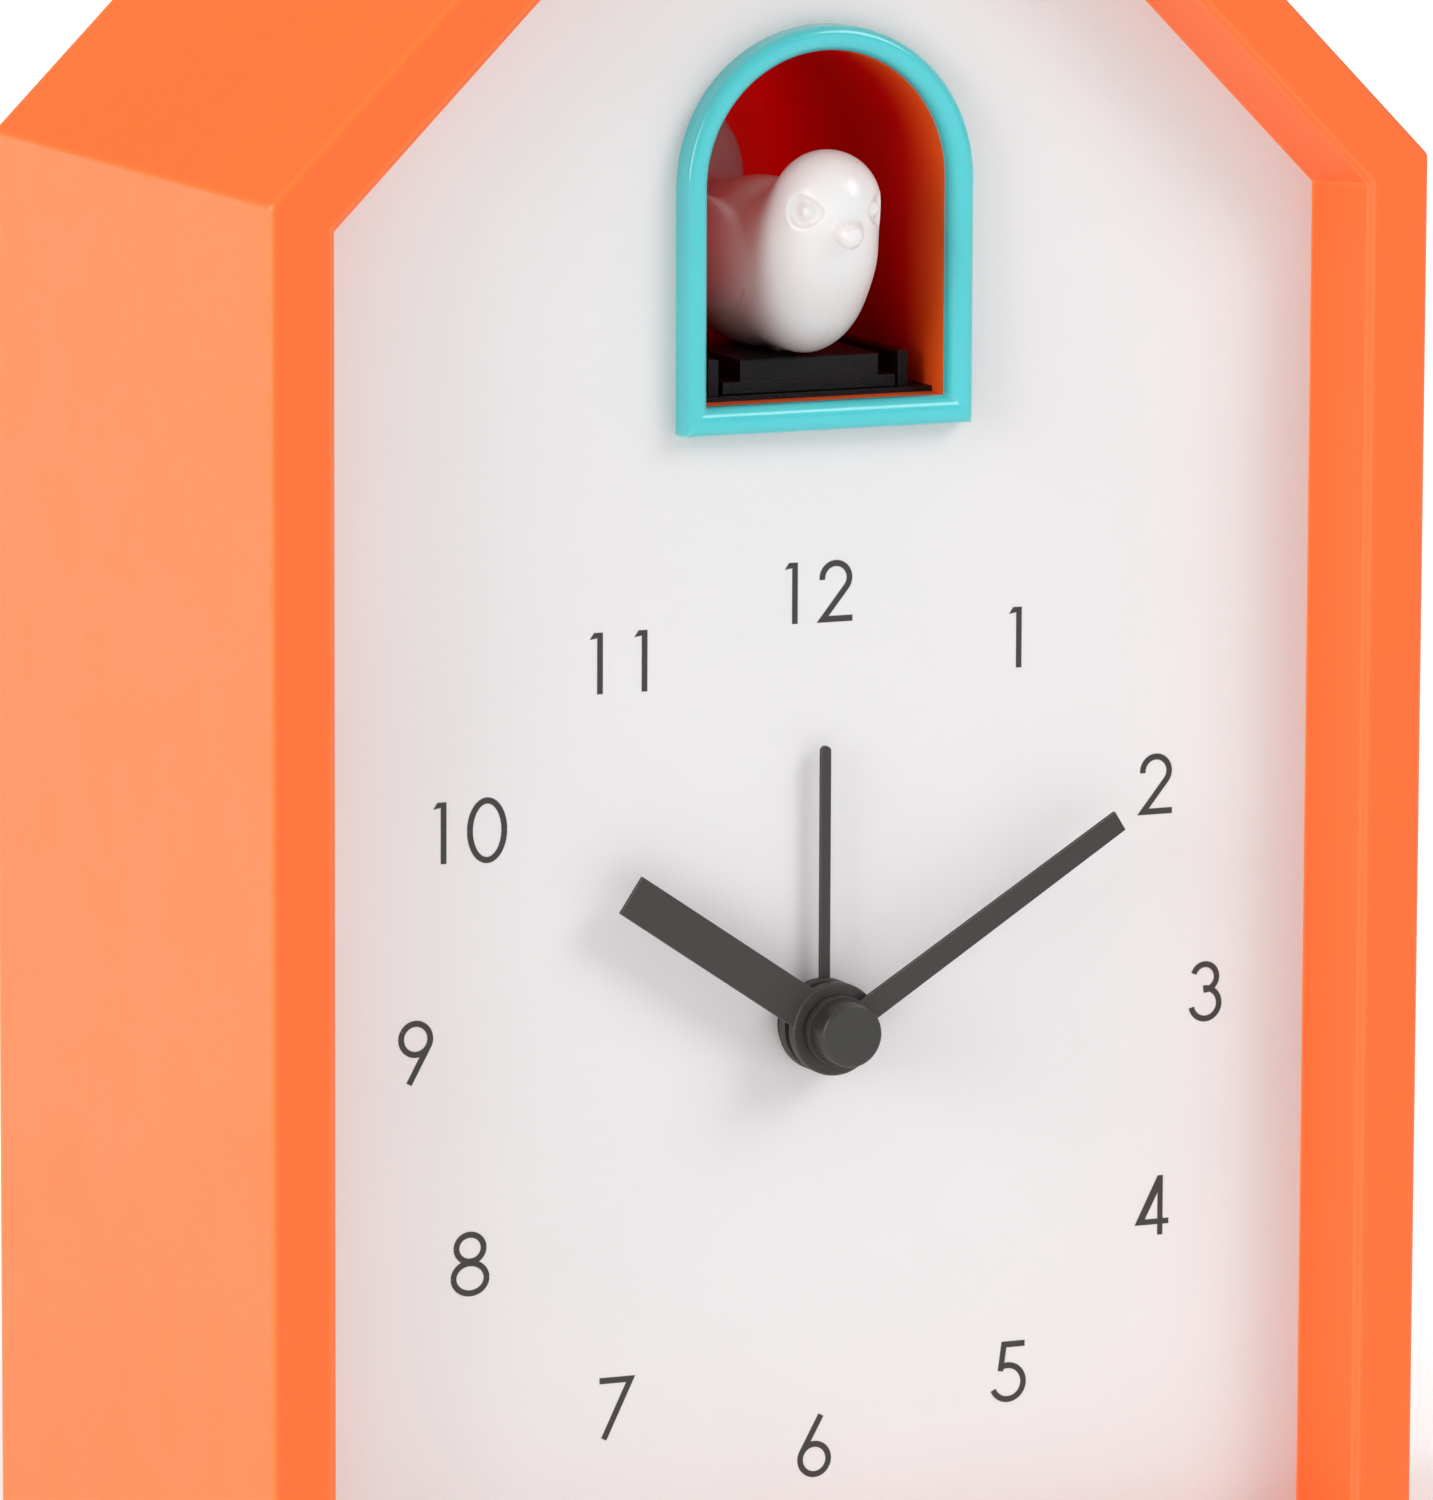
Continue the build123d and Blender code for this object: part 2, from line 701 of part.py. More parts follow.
with BuildPart() as bird:
    for behind, height, half, half_height in body_ovals:
        with BuildSketch(facing_front(bird_y + behind, 0, carriage_deck + height)):
            Ellipse(half, half_height)
    loft()
    with Locations((0, head_y, head_height)):
        Sphere(head_radius)
    with Locations(facing_front(beak_root_y, 0, head_height - beak_below_head)):
        Cone(beak_root_radius, beak_tip_radius, beak_length + beak_tip_radius,
             align=(Align.CENTER, Align.CENTER, Align.MIN))
    split(bisect_by=Plane.XY.offset(carriage_deck), keep=Keep.TOP)
    with Locations((0, bird_y, carriage_deck)):
        Cylinder(screw_hole, bird_screw_bite + screw_end_gap,
                 align=(Align.CENTER, Align.CENTER, Align.MIN), mode=Mode.SUBTRACT)
bird.part.label = "bird"
export_step(bird.part, "parts/bird.step")

bird_screw_plane = Plane((0, bird_y, carriage_bottom + bird_screw_recess), z_dir=(0, 0, -1))
bird_screw_length = carriage_deck + bird_screw_bite - carriage_bottom - bird_screw_recess
bird_screw = set_of_screws([bird_screw_plane], bird_screw_length)
bird_screw.label = "bird_screw"
export_step(bird_screw, "parts/bird_screw.step")

# ---------------------------------------------------------------- bird drive

pinion_left = rack_x - rack_width / 2
frame_bottom = chamber_floor - frame_drop
frame_front = pinion_depth - frame_before_pinion
drive_left = frame_right + 1.0  # the gears run just outside the frame
hub_reach = 2.0
motor_y = pinion_depth + motor_distance * cos(radians(motor_angle))
motor_z = pinion_height + motor_distance * sin(radians(motor_angle))
shaft_left = frame_left - screw_end_gap
shaft_right = drive_left + drive_width + shaft_overhang
tab_bottom = chamber_floor - ear_thickness
nose_end = motor_right + motor_nose_length

with BuildPart() as gearbox_frame:
    for x in (frame_left, motor_right):
        block((x, x + frame_wall), (frame_front, frame_back), (frame_bottom, chamber_floor))
    block((frame_left, frame_right), (frame_back - frame_wall, frame_back), (frame_bottom, chamber_floor))
    for (x, y), root in zip(frame_screw_places, (frame_left + weld, motor_right + weld)):
        block((x - frame_tab_length / 2, root), (y - frame_tab_half_width, y + frame_tab_half_width),
              (tab_bottom, chamber_floor))
    rod(pinion_depth, pinion_height, frame_left, frame_right, drive_shaft_radius + running_clearance,
        Mode.SUBTRACT)
    rod(motor_y, motor_z, motor_right - weld, frame_right, motor_nose_radius + sleeve_clearance, Mode.SUBTRACT)
    with Locations(*[(x, y, chamber_floor) for x, y in frame_screw_places]):
        Cylinder(screw_hole, ear_thickness, align=(Align.CENTER, Align.CENTER, Align.MAX), mode=Mode.SUBTRACT)
gearbox_frame.part.label = "gearbox_frame"
export_step(gearbox_frame.part, "parts/gearbox_frame.step")

frame_screw_planes = [Plane((x, y, tab_bottom), z_dir=(0, 0, -1)) for x, y in frame_screw_places]
gearbox_screws = set_of_screws(frame_screw_planes, ear_thickness + chamber_wall - sleeve_clearance)
gearbox_screws.label = "gearbox_screws"
export_step(gearbox_screws, "parts/gearbox_screws.step")

with BuildPart() as drive_shaft:
    rod(pinion_depth, pinion_height, shaft_left, shaft_right, drive_shaft_radius)
    chamfer(drive_shaft.edges(), shaft_chamfer)
drive_shaft.part.label = "drive_shaft"
export_step(drive_shaft.part, "parts/drive_shaft.step")

with BuildPart() as rack_pinion:
    with BuildSketch(facing_right(pinion_left, pinion_depth, pinion_height)):
        add(gear(pinion_teeth, drive_module, 90))
    extrude(amount=rack_width)
    rod(pinion_depth, pinion_height, pinion_left - hub_reach, pinion_left, 2 * drive_shaft_radius)
    rod(pinion_depth, pinion_height, pinion_left - hub_reach, pinion_left + rack_width,
        drive_shaft_radius + press_clearance, Mode.SUBTRACT)
rack_pinion.part.label = "rack_pinion"
export_step(rack_pinion.part, "parts/rack_pinion.step")

with BuildPart() as drive_gear:
    with BuildSketch(facing_right(drive_left, pinion_depth, pinion_height)):
        add(gear(drive_teeth, train_module, motor_angle))
        with PolarLocations(gear_window_circle, 5):
            Circle(1.5, mode=Mode.SUBTRACT)
    extrude(amount=drive_width)
    rod(pinion_depth, pinion_height, drive_left, drive_left + drive_width,
        drive_shaft_radius + press_clearance, Mode.SUBTRACT)
drive_gear.part.label = "drive_gear"
export_step(drive_gear.part, "parts/drive_gear.step")

with BuildPart() as motor_can:
    with BuildSketch(facing_right(motor_left, motor_y, motor_z)):
        Circle(motor_radius)
        Rectangle(2 * motor_radius, 2 * (motor_radius - motor_flat), mode=Mode.INTERSECT)
    extrude(amount=motor_length)
    fillet(motor_can.edges().group_by(Axis.X)[-1], 0.5)
    rod(motor_y, motor_z, motor_right - press_clearance, nose_end, motor_nose_radius)
    rod(motor_y, motor_z, motor_left + motor_cap_length, nose_end,
        motor_shaft_radius + running_clearance, Mode.SUBTRACT)
    with BuildSketch(facing_right(motor_left, motor_y, motor_z)):
        Circle(motor_radius - motor_sheet)
        Rectangle(2 * motor_radius, 2 * (motor_radius - motor_flat - motor_sheet), mode=Mode.INTERSECT)
    extrude(amount=motor_cap_length, mode=Mode.SUBTRACT)
motor_can.part.label = "motor_can"
export_step(motor_can.part, "parts/motor_can.step")

with BuildPart() as motor_cap:
    with BuildSketch(facing_right(motor_left, motor_y, motor_z)):
        Circle(motor_radius - motor_sheet - press_clearance)
        Rectangle(2 * motor_radius, 2 * (motor_radius - motor_flat - motor_sheet - press_clearance),
                  mode=Mode.INTERSECT)
    extrude(amount=motor_cap_length)
    rod(motor_y, motor_z, motor_left - shaft_overhang, motor_left, motor_end_radius)
    for side in (-1, 1):
        across = sorted((motor_y + side * (motor_radius / 2 - motor_sheet / 2),
                         motor_y + side * (motor_radius / 2 + motor_sheet / 2)))
        block((motor_left - motor_cap_length, motor_left), across,
              (motor_z - motor_tag_depth / 2, motor_z + motor_tag_depth / 2))
    rod(motor_y, motor_z, motor_left, motor_left + motor_cap_length, motor_shaft_radius + running_clearance,
        Mode.SUBTRACT)
motor_cap.part.label = "motor_cap"
export_step(motor_cap.part, "parts/motor_cap.step")

with BuildPart() as motor_pinion:
    rod(motor_y, motor_z, motor_left + shaft_chamfer, shaft_right, motor_shaft_radius)
    with BuildSketch(facing_right(drive_left - shaft_chamfer, motor_y, motor_z)):
        add(gear(motor_teeth, train_module, motor_angle + 180 + 180 / motor_teeth))
    extrude(amount=drive_width + 2 * shaft_chamfer)
motor_pinion.part.label = "motor_pinion"
export_step(motor_pinion.part, "parts/motor_pinion.step")

# ---------------------------------------------------------------- quartz movement

alarm_wheel_y = dial_back + movement_wall + wheel_gap
hour_wheel_y = alarm_wheel_y + wheel_thickness + 0.8
motion_wheel_y = hour_wheel_y + wheel_thickness + 1.0
centre_wheel_y = motion_wheel_y + wheel_thickness + 1.6
shell_joint_y = movement_front_y + front_shell_depth
axis_z = hand_axis_height
half_movement = movement_size / 2
step_z = axis_z + step_distance
pivot_front = dial_back + pivot_depth  # front ends of the setting shafts


def movement_outline(inset):
    """Rounded square of the movement's housing, this far inside its outer faces."""
    with BuildSketch() as outline:
        Rectangle(movement_size - 2 * inset, movement_size - 2 * inset)
        fillet(outline.vertices(), 5.0 - inset)
    return outline.sketch


with BuildPart() as movement_front:
    with BuildSketch(facing_front(movement_front_y, 0, axis_z)):
        add(movement_outline(0))
    extrude(amount=-front_shell_depth)
    with BuildSketch(facing_front(movement_front_y + movement_wall, 0, axis_z)):
        add(movement_outline(movement_wall))
    extrude(amount=-(front_shell_depth - movement_wall), mode=Mode.SUBTRACT)
    disc(0, axis_z, dial_face + nose_gap, movement_front_y, nose_radius)
    disc(0, axis_z, dial_face + nose_gap, movement_front_y + movement_wall,
         alarm_pipe_radius + running_clearance, Mode.SUBTRACT)
    for x in (-motion_distance, alarm_distance):
        disc(x, axis_z, pivot_front - pivot_end_gap, movement_front_y + movement_wall,
             set_shaft_radius + running_clearance, Mode.SUBTRACT)
    for x, z in movement_ears:
        disc(x, z, boss_top, boss_top + ear_thickness, ear_radius)
        reach = sorted(((1 if x > 0 else -1) * (half_movement - weld), x))
        block(reach, (boss_top, boss_top + ear_thickness), (z - ear_radius, z + ear_radius))
        disc(x, z, boss_top, boss_top + ear_thickness, screw_hole, Mode.SUBTRACT)
movement_front.part.label = "movement_front"
export_step(movement_front.part, "parts/movement_front.step")

with BuildPart() as movement_rear:
    with BuildSketch(facing_front(shell_joint_y, 0, axis_z)):
        add(movement_outline(0))
    extrude(amount=-(movement_back_y - shell_joint_y))
    with BuildSketch(facing_front(shell_joint_y, 0, axis_z)):
        add(movement_outline(movement_wall))
    extrude(amount=-(movement_back_y - shell_joint_y - movement_wall), mode=Mode.SUBTRACT)
    inner_back = movement_back_y - movement_wall
    for x, z in ((0, axis_z), (0, step_z)):
        disc(x, z, inner_back - bearing_length, inner_back, bearing_radius)
        disc(x, z, inner_back - bearing_length, movement_back_y - pivot_depth,
             arbor_radius + running_clearance, Mode.SUBTRACT)
    for x in (-motion_distance, alarm_distance):
        disc(x, axis_z, inner_back, movement_back_y, set_shaft_radius + running_clearance, Mode.SUBTRACT)
movement_rear.part.label = "movement_rear"
export_step(movement_rear.part, "parts/movement_rear.step")

movement_screw_planes = [facing_back(boss_top + ear_thickness, x, z) for x, z in movement_ears]
movement_screws = set_of_screws(movement_screw_planes, ear_thickness + dial_boss_height + screw_past_boss)
movement_screws.label = "movement_screws"
export_step(movement_screws, "parts/movement_screws.step")

arbor_back = movement_back_y - pivot_depth - pivot_end_gap
minute_hub_back = minute_hub_front + minute_hub_length
hour_hub_back = hour_hub_front + hub_length
alarm_hub_back = alarm_hub_front + hub_length

with BuildPart() as centre_wheel:
    disc(0, axis_z, minute_hub_front - cap_hole + pivot_end_gap, arbor_back, arbor_radius)
    with BuildSketch(facing_front(motion_wheel_y - mesh_margin / 2, 0, axis_z)):
        add(gear(cannon_teeth, motion_module, 180 + 180 / cannon_teeth))
    extrude(amount=-(wheel_thickness + mesh_margin * 1.5))
    disc(0, axis_z, motion_wheel_y + wheel_thickness + mesh_margin, centre_wheel_y, collar_radius)
    with BuildSketch(facing_front(centre_wheel_y, 0, axis_z)):
        add(gear(centre_teeth, step_module, 90))
        with PolarLocations(wheel_window_circle, 5):
            Circle(1.3, mode=Mode.SUBTRACT)
    extrude(amount=-wheel_thickness)
centre_wheel.part.label = "centre_wheel"
export_step(centre_wheel.part, "parts/centre_wheel.step")

with BuildPart() as motion_wheel:
    disc(-motion_distance, axis_z, pivot_front, knob_back - knob_face, set_shaft_radius)
    with BuildSketch(facing_front(hour_wheel_y - mesh_margin / 2, -motion_distance, axis_z)):
        add(gear(hour_pinion_teeth, hour_module, 0))
    extrude(amount=-(motion_wheel_y - hour_wheel_y + mesh_margin / 2))
    with BuildSketch(facing_front(motion_wheel_y, -motion_distance, axis_z)):
        add(gear(motion_teeth, motion_module, 0))
        with PolarLocations(wheel_window_circle, 4):
            Circle(1.3, mode=Mode.SUBTRACT)
    extrude(amount=-wheel_thickness)
motion_wheel.part.label = "motion_wheel"
export_step(motion_wheel.part, "parts/motion_wheel.step")

with BuildPart() as hour_wheel:
    with BuildSketch(facing_front(hour_wheel_y, 0, axis_z)):
        add(gear(hour_teeth, hour_module, 180 + 180 / hour_teeth))
    extrude(amount=-wheel_thickness)
    disc(0, axis_z, hour_hub_front + hub_step, hour_wheel_y, hour_pipe_radius)
    disc(0, axis_z, hour_hub_front, hour_wheel_y + wheel_thickness, arbor_radius + running_clearance,
         Mode.SUBTRACT)
hour_wheel.part.label = "hour_wheel"
export_step(hour_wheel.part, "parts/hour_wheel.step")

with BuildPart() as alarm_wheel:
    with BuildSketch(facing_front(alarm_wheel_y, 0, axis_z)):
        add(gear(alarm_teeth, alarm_module, 0))
    extrude(amount=-wheel_thickness)
    disc(0, axis_z, alarm_hub_front + hub_step, alarm_wheel_y, alarm_pipe_radius)
    disc(0, axis_z, alarm_hub_front, alarm_wheel_y + wheel_thickness, hour_pipe_radius + running_clearance,
         Mode.SUBTRACT)
alarm_wheel.part.label = "alarm_wheel"
export_step(alarm_wheel.part, "parts/alarm_wheel.step")

with BuildPart() as alarm_set_gear:
    disc(alarm_distance, axis_z, pivot_front, knob_back - knob_face, set_shaft_radius)
    with BuildSketch(facing_front(alarm_wheel_y - mesh_margin / 4, alarm_distance, axis_z)):
        add(gear(alarm_set_teeth, alarm_module, 180 + 180 / alarm_set_teeth))
    extrude(amount=-(wheel_thickness + mesh_margin / 2))
alarm_set_gear.part.label = "alarm_set_gear"
export_step(alarm_set_gear.part, "parts/alarm_set_gear.step")

stator_y = centre_wheel_y + wheel_gap
coil_z = step_z + coil_above_rotor
coil_y = stator_y + stator_thickness / 2

with BuildPart() as step_pinion:
    disc(0, step_z, centre_wheel_y - wheel_gap, arbor_back, arbor_radius)
    with BuildSketch(facing_front(centre_wheel_y - mesh_margin / 2, 0, step_z)):
        add(gear(step_teeth, step_module, 270 + 180 / step_teeth))
    extrude(amount=-(wheel_thickness + mesh_margin))
    disc(0, step_z, centre_wheel_y + wheel_thickness + mesh_margin, centre_wheel_y + 2 * wheel_thickness,
         collar_radius)
step_pinion.part.label = "step_pinion"
export_step(step_pinion.part, "parts/step_pinion.step")

with BuildPart() as step_stator:
    block((-stator_half_length, stator_half_length), (stator_y, stator_y + stator_thickness),
          (step_z - stator_half_height, step_z + stator_half_height))
    disc(0, step_z, stator_y, stator_y + stator_thickness, rotor_hole, Mode.SUBTRACT)
    for side in (-1, 1):
        arm = sorted((side * (stator_half_length - stator_arm), side * stator_half_length))
        block(arm, (stator_y, stator_y + stator_thickness), (step_z, coil_z + core_half))
    block((-stator_half_length, stator_half_length), (stator_y, stator_y + stator_thickness),
          (coil_z - core_half, coil_z + core_half))
    disc(0, axis_z, stator_y, stator_y + stator_thickness, stator_wheel_hole, Mode.SUBTRACT)
step_stator.part.label = "step_stator"
export_step(step_stator.part, "parts/step_stator.step")

with BuildPart() as step_coil:
    rod(coil_y, coil_z, -coil_length / 2, coil_length / 2, coil_radius)
    for x in (-coil_length / 2 - coil_flange, coil_length / 2):
        rod(coil_y, coil_z, x, x + coil_flange, coil_radius + coil_flange / 2)
    block((-coil_length, coil_length),
          (stator_y - press_clearance, stator_y + stator_thickness + press_clearance),
          (coil_z - core_half - press_clearance, coil_z + core_half + press_clearance), Mode.SUBTRACT)
step_coil.part.label = "step_coil"
export_step(step_coil.part, "parts/step_coil.step")

# ---------------------------------------------------------------- hands


def hand_outline(length, root_width, tip_width, angle, round_tip=False):
    """A hand's blade from the axis outwards, turned clockwise from twelve by this angle."""
    with BuildSketch(Plane.XY.rotated((0, 0, -angle))) as blade:
        with BuildLine():
            Polyline((-root_width / 2, 0), (-tip_width / 2, length), (tip_width / 2, length),
                     (root_width / 2, 0), close=True)
        make_face()
        if round_tip:
            with Locations((0, length)):
                Circle(tip_width / 2)
    return blade.sketch


with BuildPart() as alarm_hand:
    disc(0, axis_z, alarm_hub_front, alarm_hub_back, alarm_hub_radius)
    chamfer(alarm_hand.edges().group_by(Axis.Y)[0], hub_edge)
    with BuildSketch(facing_front(alarm_hub_front + hand_behind_hub[0], 0, axis_z)):
        add(hand_outline(alarm_hand_length, alarm_hand_width, alarm_hand_width, 0, round_tip=True))
    extrude(amount=hand_thickness)
    disc(0, axis_z, alarm_hub_front + hub_step, alarm_hub_back, alarm_pipe_radius + press_clearance,
         Mode.SUBTRACT)
    disc(0, axis_z, alarm_hub_front, alarm_hub_back, hour_pipe_radius + running_clearance, Mode.SUBTRACT)
alarm_hand.part.label = "alarm_hand"
export_step(alarm_hand.part, "parts/alarm_hand.step")

with BuildPart() as hour_hand:
    disc(0, axis_z, hour_hub_front, hour_hub_back, hour_hub_radius)
    chamfer(hour_hand.edges().group_by(Axis.Y)[0], hub_edge)
    with BuildSketch(facing_front(hour_hub_front + hand_behind_hub[1], 0, axis_z)):
        add(hand_outline(hour_hand_length, hour_hand_width, hour_hand_width, hour_hand_angle))
    extrude(amount=hand_thickness)
    disc(0, axis_z, hour_hub_front + hub_step, hour_hub_back, hour_pipe_radius + press_clearance,
         Mode.SUBTRACT)
    disc(0, axis_z, hour_hub_front, hour_hub_back, arbor_radius + running_clearance, Mode.SUBTRACT)
hour_hand.part.label = "hour_hand"
export_step(hour_hand.part, "parts/hour_hand.step")

with BuildPart() as minute_hand:
    disc(0, axis_z, minute_hub_front, minute_hub_back, minute_hub_radius)
    with BuildSketch(facing_front(minute_hub_back - weld / 5, 0, axis_z)):
        add(hand_outline(minute_hand_length, minute_hand_width, minute_hand_tip_width, minute_hand_angle))
    extrude(amount=hand_thickness)
    disc(0, axis_z, minute_hub_front, minute_hub_back, arbor_radius + press_clearance, Mode.SUBTRACT)
minute_hand.part.label = "minute_hand"
export_step(minute_hand.part, "parts/minute_hand.step")

with BuildPart() as hand_cap:
    disc(0, axis_z, minute_hub_front - cap_length, minute_hub_front, cap_radius)
    fillet(hand_cap.edges().group_by(Axis.Y)[0], cap_edge)
    disc(0, axis_z, minute_hub_front - cap_hole, minute_hub_front, arbor_radius + press_clearance,
         Mode.SUBTRACT)
hand_cap.part.label = "hand_cap"
export_step(hand_cap.part, "parts/hand_cap.step")

# ---------------------------------------------------------------- setting knobs


def knob(x):
    """Grooved knob on the setting shaft at this x."""
    with BuildPart() as turned:
        disc(x, axis_z, knob_front, knob_back, knob_radius)
        fillet(turned.edges().group_by(Axis.Y)[-1], knob_edge)
        with Locations(facing_front(knob_front, x, axis_z)):
            with PolarLocations(knob_radius + knob_groove_out, knob_grooves):
                Cylinder(knob_groove_radius, knob_length,
                         align=(Align.CENTER, Align.CENTER, Align.MAX), mode=Mode.SUBTRACT)
        disc(x, axis_z, knob_front, knob_back - knob_face, set_shaft_radius + press_clearance, Mode.SUBTRACT)
    return turned.part


time_knob = knob(-motion_distance)
time_knob.label = "time_knob"
export_step(time_knob, "parts/time_knob.step")

alarm_knob = knob(alarm_distance)
alarm_knob.label = "alarm_knob"
export_step(alarm_knob, "parts/alarm_knob.step")

# ---------------------------------------------------------------- back cover

pocket_middle = (alarm_distance - motion_distance) / 2
pocket_length = alarm_distance + motion_distance + 2 * (knob_radius + knob_pocket_margin)
pocket_height = 2 * (knob_radius + knob_pocket_margin)
battery_top = battery_box_bottom + 2 * battery_spacing + battery_gap
battery_heights = [battery_box_bottom + battery_spacing * (row + 0.5) + battery_gap / 2 for row in range(2)]
battery_floor = cover_inside - 3 * battery_floor_gap - 2 * battery_radius
battery_y = battery_floor + battery_floor_gap + battery_radius
box_half = battery_box_length / 2
door_y = cover_face - cover_thickness / 2
door_bottom = battery_box_bottom + cover_clearance
door_hinge_z = door_bottom + cover_thickness / 2
door_top = battery_top - door_gap
door_half = box_half - door_gap
speaker_boss_circle = speaker_radius + speaker_screw_out
speaker_boss_length = speaker_flange + speaker_boss_gap
board_y = cover_inside - board_standoff
board_boss_x = board_width / 2 - board_boss_inset
board_boss_rise = board_height / 2 - board_boss_inset
board_bosses = [(side * board_boss_x, board_centre + rise * board_boss_rise)
                for side in (-1, 1) for rise in (-1, 1)]
cover_screw_seat = cover_face - cover_screw_sunk
lever_half = lever_width / 2
lever_slot_half = lever_half + slot_clearance

with BuildPart() as back_cover:
    with BuildSketch(facing_front(cover_inside)):
        add(house(wall + cover_clearance))
    extrude(amount=-cover_thickness)
    pocket_front = pocket_floor - knob_pocket_wall
    with BuildSketch(facing_front(pocket_front, pocket_middle, axis_z)):
        SlotOverall(pocket_length + 2 * knob_pocket_wall, pocket_height + 2 * knob_pocket_wall)
    extrude(amount=-(cover_inside - pocket_front))
    with BuildSketch(facing_front(pocket_floor, pocket_middle, axis_z)):
        SlotOverall(pocket_length, pocket_height)
    extrude(amount=-knob_pocket_depth, mode=Mode.SUBTRACT)
    for x in (-motion_distance, alarm_distance):
        disc(x, axis_z, pocket_front, pocket_floor, set_shaft_radius + slot_clearance, Mode.SUBTRACT)
    outer = battery_box_wall
    block((-box_half - outer, box_half + outer), (battery_floor - outer, cover_inside),
          (battery_box_bottom - outer, battery_top + outer))
    block((-box_half, box_half), (battery_floor, cover_face), (battery_box_bottom, battery_top), Mode.SUBTRACT)
    for side in (-1, 1):
        pin_hole = sorted((side * box_half, side * (box_half + door_pin_length + cover_clearance)))
        rod(door_y, door_hinge_z, *pin_hole, door_pin_radius + running_clearance, Mode.SUBTRACT)
    disc(0, speaker_height, cover_inside, cover_face, speaker_hole_radius, Mode.SUBTRACT)
    for ring, count in speaker_rings:
        with Locations(facing_front(cover_inside, 0, speaker_height)):
            with PolarLocations(ring, count):
                Cylinder(speaker_hole_radius, cover_thickness,
                         align=(Align.CENTER, Align.CENTER, Align.MAX), mode=Mode.SUBTRACT)
    with Locations(facing_front(cover_inside, 0, speaker_height)):
        with PolarLocations(speaker_boss_circle, speaker_screws_count, start_angle=90):
            Cylinder(speaker_boss_radius, speaker_boss_length, align=(Align.CENTER, Align.CENTER, Align.MIN))
            Cylinder(screw_hole, speaker_boss_length, align=(Align.CENTER, Align.CENTER, Align.MIN),
                     mode=Mode.SUBTRACT)
    for x, z in board_bosses:
        disc(x, z, board_y, cover_inside, board_boss_radius)
        disc(x, z, board_y, cover_inside, screw_hole, Mode.SUBTRACT)
    disc(button_x, board_centre, cover_inside, cover_face, button_radius + slot_clearance, Mode.SUBTRACT)
    block((switch_x - switch_pocket[0] / 2, switch_x + switch_pocket[0] / 2),
          (cover_face - switch_pocket_depth, cover_face),
          (board_centre - switch_pocket[1] / 2, board_centre + switch_pocket[1] / 2), Mode.SUBTRACT)
    lever_reach = switch_travel / 2 + lever_slot_half
    block((switch_x - lever_reach, switch_x + lever_reach), (cover_inside, cover_face),
          (board_centre - lever_slot_half, board_centre + lever_slot_half), Mode.SUBTRACT)
    for x, z in boss_places:
        disc(x, z, cover_inside, cover_face, screw_hole, Mode.SUBTRACT)
        disc(x, z, cover_screw_seat, cover_face, screw_head_radius + slot_clearance, Mode.SUBTRACT)
back_cover.part.label = "back_cover"
export_step(back_cover.part, "parts/back_cover.step")

back_screw_planes = [facing_back(cover_screw_seat, x, z) for x, z in boss_places]
back_screws = set_of_screws(back_screw_planes, cover_screw_seat - cover_inside + back_screw_bite)
back_screws.label = "back_screws"
export_step(back_screws, "parts/back_screws.step")

with BuildPart() as battery_door:
    block((-door_half, door_half), (cover_face - cover_thickness, cover_face), (door_hinge_z, door_top))
    rod(door_y, door_hinge_z, -door_half, door_half, cover_thickness / 2)
    for side in (-1, 1):
        rod(door_y, door_hinge_z, *sorted((side * (door_half - weld), side * (box_half + door_pin_length))),
            door_pin_radius)
    block((-door_notch[0] / 2, door_notch[0] / 2), (cover_face - door_notch_depth, cover_face),
          (door_top - door_notch[1], door_top), Mode.SUBTRACT)
    for groove in range(door_grooves):
        groove_z = door_top - door_notch[1] - door_groove_pitch * (groove + 1.5)
        block((-door_groove_length / 2, door_groove_length / 2), (cover_face - door_groove_depth, cover_face),
              (groove_z - door_groove_depth, groove_z + door_groove_depth), Mode.SUBTRACT)
battery_door.part.label = "battery_door"
export_step(battery_door.part, "parts/battery_door.step")

# ---------------------------------------------------------------- batteries and contacts

cell_start = -box_half + contact_thickness + contact_reach
with BuildPart() as battery_cells:
    for row, height in enumerate(battery_heights):
        turn = 1 if row == 0 else -1
        ends = sorted((turn * cell_start, turn * (cell_start + battery_length)))
        rod(battery_y, height, *ends, battery_radius)
        fillet(battery_cells.edges().filter_by(GeomType.CIRCLE).group_by(Axis.Z)[-1], cell_edge)
        cell_end = cell_start + battery_length
        nub = sorted((turn * cell_end, turn * (cell_end + battery_nub)))
        rod(battery_y, height, *nub, nub_radius)
battery_cells.part.label = "battery_cells"
export_step(battery_cells.part, "parts/battery_cells.step")

with BuildPart() as positive_contacts:
    for row, height in enumerate(battery_heights):
        turn = 1 if row == 0 else -1
        plate = sorted((turn * (box_half - contact_thickness), turn * box_half))
        block(plate, (battery_y - contact_width / 2, battery_y + contact_width / 2),
              (height - contact_size / 2, height + contact_size / 2))
        tip = turn * (cell_start + battery_length + battery_nub + press_clearance)
        rod(battery_y, height, *sorted((tip, turn * (box_half - contact_thickness))), collar_radius)
positive_contacts.part.label = "positive_contacts"
export_step(positive_contacts.part, "parts/positive_contacts.step")

